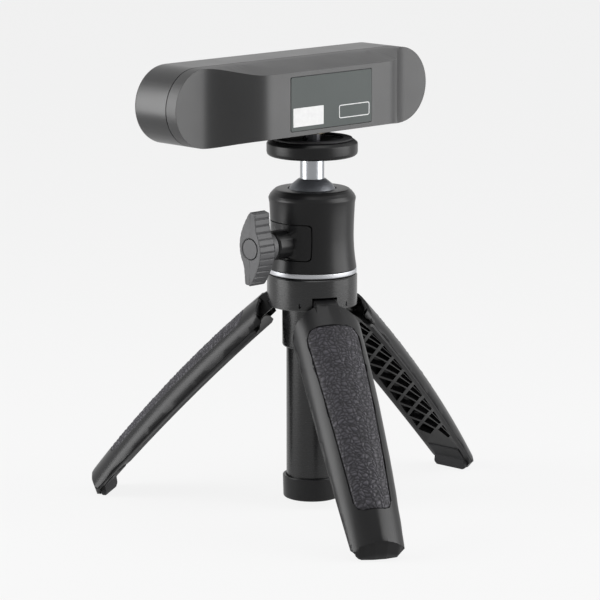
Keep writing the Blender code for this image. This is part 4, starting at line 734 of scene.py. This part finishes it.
def rounded_ring(width, height, corner, steps=6):
    """Points round a rectangle whose corners are quarter circles, as one array."""
    quarter = np.linspace(0, math.pi / 2, steps)
    turns = np.concatenate([quarter + k * math.pi / 2 for k in range(4)])
    side_x = np.repeat([1, -1, -1, 1], steps) * (width / 2 - corner)
    side_z = np.repeat([1, 1, -1, -1], steps) * (height / 2 - corner)
    return np.stack([side_x + corner * np.cos(turns), side_z + corner * np.sin(turns)], axis=-1)


def printed(name, centre, size, corner, line=0.0):
    """A thin print on the label: a rounded patch, or a rounded outline if a line width is given."""
    face = high("label_plate").y
    width, height = size
    outer = rounded_ring(width, height, corner)
    inner = outer * 0.5
    if line:
        inner = rounded_ring(width - 2 * line, height - 2 * line, corner - line)
    rings = []
    for ring, rise in ((outer, -PRINT_DEPTH), (outer, PRINT_RISE), (inner, PRINT_RISE),
                       (inner, -PRINT_DEPTH)):
        rise = np.full(len(ring), face + rise)
        rings.append(np.stack([centre[0] + ring[:, 0], rise, centre[1] + ring[:, 1]], axis=-1))
    rows = np.array(rings if line else rings[:3])
    if line:
        rows = np.concatenate([rows, rows[:1]])
    mesh = lathe_like(name, rows)
    if line:
        build = bmesh.new()
        build.from_mesh(mesh)
        caps = [face for face in build.faces if len(face.verts) > 4]
        bmesh.ops.delete(build, geom=caps, context="FACES_ONLY")
        bmesh.ops.recalc_face_normals(build, faces=build.faces)
        build.to_mesh(mesh)
        build.free()
    return mesh_object(name, mesh, "scanner", "print", "label")


class SCANNER_OT_housing(bpy.types.Operator):
    """Dress the scanner's front housing, rear cover, window and label plate"""

    bl_idname = "scanner.housing"
    bl_label = "Scanner housing"

    def execute(self, context):
        dressed("front_housing", "housing", EDGE, end_cuts(), on_ends)
        dressed("rear_cover", "cover", COVER_EDGE, rear_cuts(), on_rear, 3, facing=rear_facing)
        dressed("label_plate", "label", LABEL_EDGE)
        dressed("front_window", "window", THIN_EDGE)
        left, right = high("label_plate").x, low("label_plate").x
        foot = low("label_plate").z
        printed("label_patch", (left - PATCH_PLACE[0], foot + PATCH_PLACE[1]), PATCH_SIZE,
                PATCH_CORNER)
        printed("label_outline", (right + OUTLINE_PLACE[0], foot + OUTLINE_PLACE[1]),
                OUTLINE_SIZE, OUTLINE_CORNER, OUTLINE_WIDTH)
        return {"FINISHED"}


# Ball head

# The lock panel, in metres: its boss's flat sides, and the groove round it
PANEL_STEPS = 14
BOSS_REACH = 1.06
BOSS_LENGTH = 0.0054
GROOVE_REACH, PANEL_GROOVE = 0.0007, 0.0002
# The wing knob: its outline as shares of half its span, its ribs, and the well for its cap
KNOB_HUB_RADIUS = 0.005
WING_SPAN = 0.025
WING_THICKNESS = 0.007
WING_SHARES = ((-0.02, 1.0), (0.08, 1.0), (0.19, 0.97), (0.21, 0.82), (0.25, 0.5), (0.36, 0.24),
               (0.41, 0.0), (0.405, -0.2), (0.34, -0.46), (0.2, -0.74))
WING_EDGE = 0.0005
WING_RIM = 1.6 * WING_EDGE
POLE = 1e-5
RIB_PITCH = 0.0023
RIB_DEPTH = 0.0003
RIB_WIDTH = 0.00022
KNOB_CAP_RADIUS = 0.0035
KNOB_CAP_WELL = 0.0016
# The head's shoulder
SHOULDER_RADIUS = 0.01505
SHOULDER_TOP_RADIUS = 0.0124
SHOULDER_RISE = 0.003
SHOULDER_POWER = 1.35
SHOULDER_SKIN = 0.0003
SHOULDER_CUTS = 10


def wing_curve(per_side=24):
    """The wing's outline as one closed smooth curve: a Catmull-Rom spline through its points.

    Between points b and c of a, b, c, d, at share f, the spline is half of
    2b + (c - a) f + (2a - 5b + 4c - d) f f + (3b - a - 3c + d) f f f.
    """
    half = np.array(WING_SHARES) * WING_SPAN / 2
    knots = np.concatenate([half, -half])
    f = np.tile(np.arange(per_side) / per_side, len(knots))[:, None]
    a, b, c, d = (np.repeat(np.roll(knots, shift, axis=0), per_side, axis=0)
                  for shift in (1, 0, -1, -2))
    return 0.5 * (2 * b + (c - a) * f + (2 * a - 5 * b + 4 * c - d) * f ** 2
                  + (3 * b - a - 3 * c + d) * f ** 3)


def outward(curve):
    """Unit vectors that point out of a closed curve run through anticlockwise."""
    along = np.roll(curve, -1, axis=0) - np.roll(curve, 1, axis=0)
    along /= np.linalg.norm(along, axis=1, keepdims=True)
    return np.stack([along[:, 1], -along[:, 0]], axis=-1)


def knob_mesh():
    """The wing knob: rings from its hub over the ribbed wing to the well that holds its cap.

    Every ring follows the wing's outline, moved inwards by a given inset, or a circle at the same
    polar angles. The side has a groove wherever the way along the outline meets a whole pitch.
    """
    curve = wing_curve()
    if np.sum(curve[:, 0] * np.roll(curve[:, 1], -1) - np.roll(curve[:, 0], -1) * curve[:, 1]) < 0:
        curve = curve[::-1]
    normal = outward(curve)
    steps = np.linalg.norm(np.roll(curve, -1, axis=0) - curve, axis=1)
    way = np.cumsum(steps) - steps
    pitch = steps.sum() / round(steps.sum() / RIB_PITCH)
    off = np.abs(np.mod(way / pitch + 0.5, 1.0) - 0.5) * pitch
    groove = np.exp(-(off / RIB_WIDTH) ** 2)[:, None] * RIB_DEPTH
    turn = np.arctan2(curve[:, 1], curve[:, 0])
    circle = np.stack([np.cos(turn), np.sin(turn)], axis=-1)
    face = high("wing_knob").x
    back = face - WING_THICKNESS
    start = low("wing_knob").x
    well = face - KNOB_CAP_WELL
    edge = WING_EDGE
    rings = [(circle * POLE, start), (circle * (KNOB_HUB_RADIUS - edge), start),
             (circle * KNOB_HUB_RADIUS, start + edge), (circle * KNOB_HUB_RADIUS, back)]
    quarter = np.linspace(0, math.pi / 2, 4)
    rings += [(curve - normal * WING_RIM, back)]
    rings += [(curve - normal * edge * (1 - math.sin(q)) - groove * math.sin(q),
               back + edge * (1 - math.cos(q))) for q in quarter]
    rings += [(curve - normal * (edge / 2) * (1 - math.cos(q)) - normal * groove * math.cos(q),
               face - edge / 2 * (1 - math.sin(q))) for q in quarter]
    rings += [(curve - normal * WING_RIM, face), (circle * (KNOB_CAP_RADIUS + 0.0005), face),
              (circle * (KNOB_CAP_RADIUS + 0.0002), face - 0.0002),
              (circle * (KNOB_CAP_RADIUS + 0.0001), well), (circle * POLE, well)]
    rows = []
    for ring, depth in rings:
        rows.append(np.stack([np.full(len(ring), depth), KNOB_AXIS.y + ring[:, 0],
                              KNOB_AXIS.z + ring[:, 1]], axis=-1))
    return lathe_like("wing_knob_skin", np.array(rows))


def on_boss(points):
    """Lays the panel's boss on its true circle, and draws the panel's edges in for its groove."""
    reach = np.hypot(points[:, 1] - KNOB_AXIS.y, points[:, 2] - KNOB_AXIS.z)
    boss = reach < KNOB_HUB_RADIUS * BOSS_REACH
    boss &= points[:, 0] > high("lock_panel").x - BOSS_LENGTH
    moved = points.copy()
    moved[boss] = on_circle(points[boss], KNOB_AXIS, PANEL_STEPS, (1, 2))
    centre, reach = middle("lock_panel"), half_size("lock_panel")
    for axis in (1, 2):
        off = points[:, axis] - centre[axis]
        rim = np.abs(off) > reach[axis] - GROOVE_REACH
        moved[rim, axis] -= np.sign(off[rim]) * PANEL_GROOVE
    return moved


def on_shoulder(points):
    """Lays the head on its circle, and turns its round shoulder into a rounded cone.

    Over the shoulder's height h and width w the radius was r + w (1 - (z / h)^2)^(1/2), and
    becomes r + w (1 - (z / h)^n)^(1/n) with a smaller n.
    """
    moved = on_circle(points, (AXIS.x, AXIS.y, 0), TURNED_STEPS)
    reach = moved[:, :2] - np.array(AXIS)
    radius = np.hypot(reach[:, 0], reach[:, 1])
    wide = SHOULDER_RADIUS - SHOULDER_TOP_RADIUS
    rise = np.clip((moved[:, 2] - high("head_body").z) / SHOULDER_RISE + 1, 0, 1)
    was = SHOULDER_TOP_RADIUS + wide * np.sqrt(1 - rise ** 2)
    becomes = SHOULDER_TOP_RADIUS + wide * (1 - rise ** SHOULDER_POWER) ** (1 / SHOULDER_POWER)
    outer = (rise > 0) & (np.abs(radius - was) < SHOULDER_SKIN)
    grow = np.where(outer, (becomes + radius - was) / np.clip(radius, 1e-6, None), 1.0)
    moved[:, :2] = np.array(AXIS) + reach * grow[:, None]
    return moved


def boss_cuts():
    """Planes through the knob's axis that cut the boss's flat sides."""
    turns = np.arange(PANEL_STEPS * 2) * math.pi / (PANEL_STEPS * 2)
    return [(KNOB_AXIS, (0, math.cos(turn), math.sin(turn))) for turn in turns]


class SCANNER_OT_head(bpy.types.Operator):
    """Dress the quick plate, the ball, the head, its lock panel, its knob and the trim ring"""

    bl_idname = "scanner.head"
    bl_label = "Ball head"

    def execute(self, context):
        turned("top_plate", "head", EDGE)
        cuts = around((AXIS.x, AXIS.y, 0), TURNED_STEPS, 3)
        for k in range(SHOULDER_CUTS):
            fall = SHOULDER_RISE * (1 - k / SHOULDER_CUTS)
            cuts.append(((0, 0, high("head_body").z - fall), (0, 0, 1)))
        dressed("head_body", "head", EDGE, cuts, on_shoulder)
        turned("plate_pad", "rubber", SHARP_EDGE)
        turned("trim_ring", "ring", THIN_EDGE)
        turned("ball_stem", "bright", SHARP_EDGE)
        turned("ball", "ball", 0.0)
        dressed("lock_panel", "head", EDGE, boss_cuts(), on_boss)
        dressed("knob_cap", "knob", THIN_EDGE)
        weighted(mesh_object("wing_knob_skin", knob_mesh(), "knob", "knob", "knob", "wing_knob"))
        return {"FINISHED"}


HUB_STEPS = 33


class SCANNER_OT_column(bpy.types.Operator):
    """Dress the hub, the sleeve, the column, its cap and the mast's tubes"""

    bl_idname = "scanner.column"
    bl_label = "Hub and column"

    def execute(self, context):
        turned("leg_hub", "tube", EDGE, HUB_STEPS, 2)
        turned("hub_sleeve", "tube", EDGE)
        turned("column_tube", "tube", SHARP_EDGE)
        turned("column_cap", "plastic", EDGE)
        turned("mast_lower_tube", "tube", SHARP_EDGE)
        turned("mast_upper_tube", "tube", SHARP_EDGE)
        return {"FINISHED"}


# Legs

# The solid's own curves, in metres: its seam, its ridge, its half width and its section's power
LEG_LENGTH = 0.097
SPREAD = math.radians(40)
SEAM_START, SEAM_RISE, SEAM_BOW = -0.00303, 0.0066, 0.00097
CROWN_TOP, CROWN_PLACE, CROWN_FLATNESS = 0.0101, 0.071, 0.9
HINGE_HALF, HALF_LOSS, TAPER_START, TAPER_LENGTH = 0.01225, 0.00325, 0.012, 0.085
HINGE_POWER, POWER_LOSS = 1.9, 0.45
# The inlay
GRIP_START, GRIP_END = 0.0112, 0.0823
GRIP_TOP_HALF, GRIP_FOOT_HALF = 0.0092, 0.0062
GRIP_TOP_ROUND, GRIP_FOOT_ROUND = 0.0045, 0.003
GRAIN_DEPTH = 0.00032
GRAIN_GRID = 96
INLAY_ROWS, INLAY_COLUMNS = 270, 84
CORNER_SHARE, STRAIGHT_SHARE = 0.012, 0.014
INLAY_RISE, INLAY_DEPTH = 0.0001, 0.0005
FALL_WIDTH, FALL_DEPTH = 0.0006, 0.0003
INLAY_LIMIT = 60
# The outer skin: what lies on it, the bevel at its tip and the lug at its hinge
SHELL_LIMIT = 42
SKIN_SHARE = 0.03
CUT_STEP_DOWN, CUT_STEP_ACROSS = 0.0025, 0.001
SEAM_EDGE = 0.0004
TIP_LINE = 0.10295
TIP_CURVE = 41.4
LUG_HALF = 0.0041
LUG_REACH = 0.0004
LUG_TOP, LUG_FOOT = 0.0015, 0.009
LUG_EASE = 0.00015


def seam_height(u):
    """Height of the line where shell and frame meet: a slope with a bow in its middle."""
    share = u / LEG_LENGTH
    return SEAM_START + SEAM_RISE * share + SEAM_BOW * 4 * share * (1 - share)


def crown_height(u):
    """Height of the leg's ridge: a long shallow arc."""
    return CROWN_TOP - (u - CROWN_PLACE) ** 2 / CROWN_FLATNESS


def half_width(u):
    """Half the leg's width, full near the hinge and narrower to the foot."""
    return HINGE_HALF - HALF_LOSS * np.clip((u - TAPER_START) / TAPER_LENGTH, 0, None) ** 2


def squareness(u):
    """Exponent of the cross-section: rounder near the hinge, more like a tent near the foot."""
    return HINGE_POWER - POWER_LOSS * np.clip(u / LEG_LENGTH, 0, 1) ** 4


def leg_skin(u, t):
    """Height of the leg's outer face: |t / w| to the n plus (height / rise) to the n makes 1."""
    power = squareness(u)
    share = np.clip(np.abs(t) / half_width(u), 0, 1)
    arch = (1 - share ** power) ** (1 / power)
    return seam_height(u) + (crown_height(u) - seam_height(u)) * arch


def leg_axes(word):
    """A leg's hinge, and its directions: down the leg, across it, and out of its face."""
    joint = joints[f"leg_{word}_fold"]
    across = Vector(joint["axis"])
    out = Vector((across.y, -across.x, 0))
    up = Vector((0, 0, 1))
    down = out * math.sin(SPREAD) - up * math.cos(SPREAD)
    face = out * math.cos(SPREAD) + up * math.sin(SPREAD)
    return np.array(joint["pos_m"]), np.array([down, across, face])


def before_tip(u, t, v):
    """Whether a point lies before the bevel over the leg's tip, which is curved in plan."""
    return u + v < TIP_LINE - TIP_CURVE * t ** 2


def on_skin(word):
    """A function that lays the points near a leg's outer face on that face."""
    hinge, axes = leg_axes(word)

    def moved(points):
        u, t, v = ((points - hinge) @ axes.T).T
        power, seam = squareness(u), seam_height(u)
        rise = crown_height(u) - seam
        high_share = np.clip((v - seam) / rise, 0, None)
        share = ((np.abs(t) / half_width(u)) ** power + high_share ** power) ** (1 / power)
        lug = np.abs(t) < LUG_HALF + LUG_REACH
        near = (share > 1 - SKIN_SHARE) & (share < 1 + SKIN_SHARE) & (v > seam + SEAM_EDGE)
        near &= ((u > LUG_FOOT) | ~lug) & before_tip(u, t, v)
        grow = np.where(near, 1 / np.clip(share, 0.5, None), 1.0)
        side = lug & (np.abs(t) > LUG_HALF - LUG_REACH) & (u < LUG_TOP)
        t = np.where(side, t - np.sign(t) * LUG_EASE, t * grow)
        inside = np.stack([u, t, np.where(near, seam + (v - seam) * grow, v)], axis=-1)
        return hinge + inside @ axes

    return moved


def skin_facing(word):
    """A function that gives the outer face's normals: the slopes of its own equation."""
    hinge, axes = leg_axes(word)

    def equation(inside):
        u, t, v = inside.T
        power, seam = squareness(u), seam_height(u)
        rise = np.clip(v - seam, 0, None) / (crown_height(u) - seam)
        return (np.abs(t) / half_width(u)) ** power + rise ** power

    def facing(points):
        inside = (points - hinge) @ axes.T
        step = 1e-6
        slopes = [(equation(inside + step * unit) - equation(inside - step * unit)) / (2 * step)
                  for unit in np.eye(3)]
        normal = np.stack(slopes, axis=-1)
        normal /= np.clip(np.linalg.norm(normal, axis=1, keepdims=True), 1e-9, None)
        above = inside[:, 2] - seam_height(inside[:, 0]) > SEAM_EDGE
        above &= before_tip(*inside.T)
        on = (np.abs(equation(inside) - 1) < 2e-4) & above
        return np.where(on[:, None], normal, 0.0) @ axes

    return facing


def leg_cuts(word):
    """Planes across a leg every 2.5 mm and along it every millimetre."""
    hinge, axes = leg_axes(word)
    cuts = [(hinge + axes[0] * u, axes[0]) for u in np.arange(0.004, 0.102, CUT_STEP_DOWN)]
    return cuts + [(hinge + axes[1] * t, axes[1])
                   for t in np.arange(-0.0115, 0.012, CUT_STEP_ACROSS)]


def grain_height(u, t, cell):
    """Height of the leather's grain, from 0 in a crease to 1 on a cell.

    Each square of a grid holds one jittered seed, and waves bend the grid first. The height
    grows with the difference between the distances to the nearest seed and to the next one.
    """
    seeds = np.random.default_rng(7).random((GRAIN_GRID, GRAIN_GRID, 2))
    x = u / cell + 0.4 * np.sin(1.3 * t / cell) + 0.2 * np.sin(2.1 * u / cell + 1)
    y = 0.85 * t / cell + 0.4 * np.sin(0.9 * u / cell) + 0.2 * np.sin(2.3 * t / cell)
    column, row = np.floor(x).astype(int), np.floor(y).astype(int)
    nearest = np.full(x.shape, 9.0)
    second = nearest.copy()
    for dx in (-1, 0, 1):
        for dy in (-1, 0, 1):
            seed = seeds[(column + dx) % GRAIN_GRID, (row + dy) % GRAIN_GRID]
            far = np.hypot(column + dx + seed[..., 0] - x, row + dy + seed[..., 1] - y)
            second = np.where(far < nearest, nearest, np.minimum(second, far))
            nearest = np.minimum(nearest, far)
    return np.clip((second - nearest) / 0.85, 0, 1) ** 0.75


def grip_half(u):
    """Half the inlay's width, with rounded corners at both of its ends."""
    share = (u - GRIP_START) / (GRIP_END - GRIP_START)
    half = GRIP_TOP_HALF + (GRIP_FOOT_HALF - GRIP_TOP_HALF) * share ** 1.3
    for edge, radius in ((u - GRIP_START, GRIP_TOP_ROUND), (GRIP_END - u, GRIP_FOOT_ROUND)):
        inner = np.clip(radius - edge, 0, radius)
        half = half - (radius - np.sqrt(radius ** 2 - inner ** 2))
    return half


def inlay(word, look):
    """The leather inlay of a leg: its outline's rows across the crown, with the grain's height.

    The face falls away towards the outline, and two more points a row close it underneath.
    """
    hinge, axes = leg_axes(word)
    row = 0.5 - 0.5 * np.cos(np.linspace(0, math.pi, 17))
    ends = np.concatenate([row[:9] * CORNER_SHARE,
                           np.linspace(STRAIGHT_SHARE, 1 - STRAIGHT_SHARE, INLAY_ROWS),
                           1 - row[8::-1] * CORNER_SHARE])
    u = (GRIP_START + (GRIP_END - GRIP_START) * ends)[:, None]
    half = grip_half(u)
    t = half * np.linspace(-1, 1, INLAY_COLUMNS)[None, :]
    u = np.broadcast_to(u, t.shape)
    edge = np.minimum(half - np.abs(t), np.minimum(u - GRIP_START, GRIP_END - u))
    fall = (1 - np.clip(edge / FALL_WIDTH, 0, 1)) ** 2
    grain = grain_height(u, t, look.grain_size) * (1 - fall)
    v = leg_skin(u, t) + INLAY_RISE + GRAIN_DEPTH * (grain - 1) - FALL_DEPTH * fall
    under = leg_skin(u, t) - INLAY_DEPTH
    top = np.stack([u, t, v], axis=-1)
    bottom = np.stack([u, t, under], axis=-1)[:, ::-1][:, ::12]
    rings = np.concatenate([top, bottom], axis=1)
    name = f"leg_grip_{word}_skin"
    mesh = lathe_like(name, hinge + rings @ axes)
    # The grain's height, kept for the material's painted shade in the creases and painted highlight
    # on the cells.
    shade = np.concatenate([grain, np.zeros(bottom.shape[:2])], axis=1).ravel()
    if len(mesh.vertices) != len(shade):
        raise RuntimeError("the inlay's rows have merged points")
    mesh.attributes.new("grain", "FLOAT", "POINT").data.foreach_set("value", shade)
    weighted(mesh_object(name, mesh, f"leg_{word}", "leather", "leather", f"leg_grip_{word}"),
             INLAY_LIMIT)


class SCANNER_OT_legs(bpy.types.Operator):
    """Dress the three legs: shell, lattice frame, inlay and foot"""

    bl_idname = "scanner.legs"
    bl_label = "Legs"

    def execute(self, context):
        for word in LEGS:
            dressed(f"leg_shell_{word}", "plastic", EDGE, leg_cuts(word), on_skin(word),
                    limit=SHELL_LIMIT, facing=skin_facing(word))
            dressed(f"leg_frame_{word}", "frame", SHARP_EDGE)
            dressed(f"leg_foot_{word}", "rubber", EDGE)
            inlay(word, context.scene.scanner_look)
        return {"FINISHED"}


class SCANNER_PT_panel(bpy.types.Panel):
    """Lists the operators that dress the scanner"""

    bl_idname = "SCANNER_PT_panel"
    bl_label = "Scanner"
    bl_space_type = "VIEW_3D"
    bl_region_type = "UI"
    bl_category = "Scanner"

    def draw(self, context):
        for operator in OPERATORS:
            self.layout.operator(operator.bl_idname)


GROUPS_OF_VALUES = (ScannerLook, StageLook)
OPERATORS = (SCANNER_OT_stage, SCANNER_OT_finishes, SCANNER_OT_housing, SCANNER_OT_head,
             SCANNER_OT_column, SCANNER_OT_legs)


def register():
    for cls in (*GROUPS_OF_VALUES, *OPERATORS, SCANNER_PT_panel):
        bpy.utils.register_class(cls)
    bpy.types.Scene.scanner_look = PointerProperty(type=ScannerLook)
    bpy.types.Scene.stage_look = PointerProperty(type=StageLook)


def unregister():
    del bpy.types.Scene.stage_look
    del bpy.types.Scene.scanner_look
    for cls in reversed((*GROUPS_OF_VALUES, *OPERATORS, SCANNER_PT_panel)):
        bpy.utils.unregister_class(cls)


def main():
    """Registers the add-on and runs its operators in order."""
    register()
    bpy.ops.scanner.stage()
    bpy.ops.scanner.finishes()
    bpy.ops.scanner.housing()
    bpy.ops.scanner.head()
    bpy.ops.scanner.column()
    bpy.ops.scanner.legs()


if __name__ == "__main__":
    main()
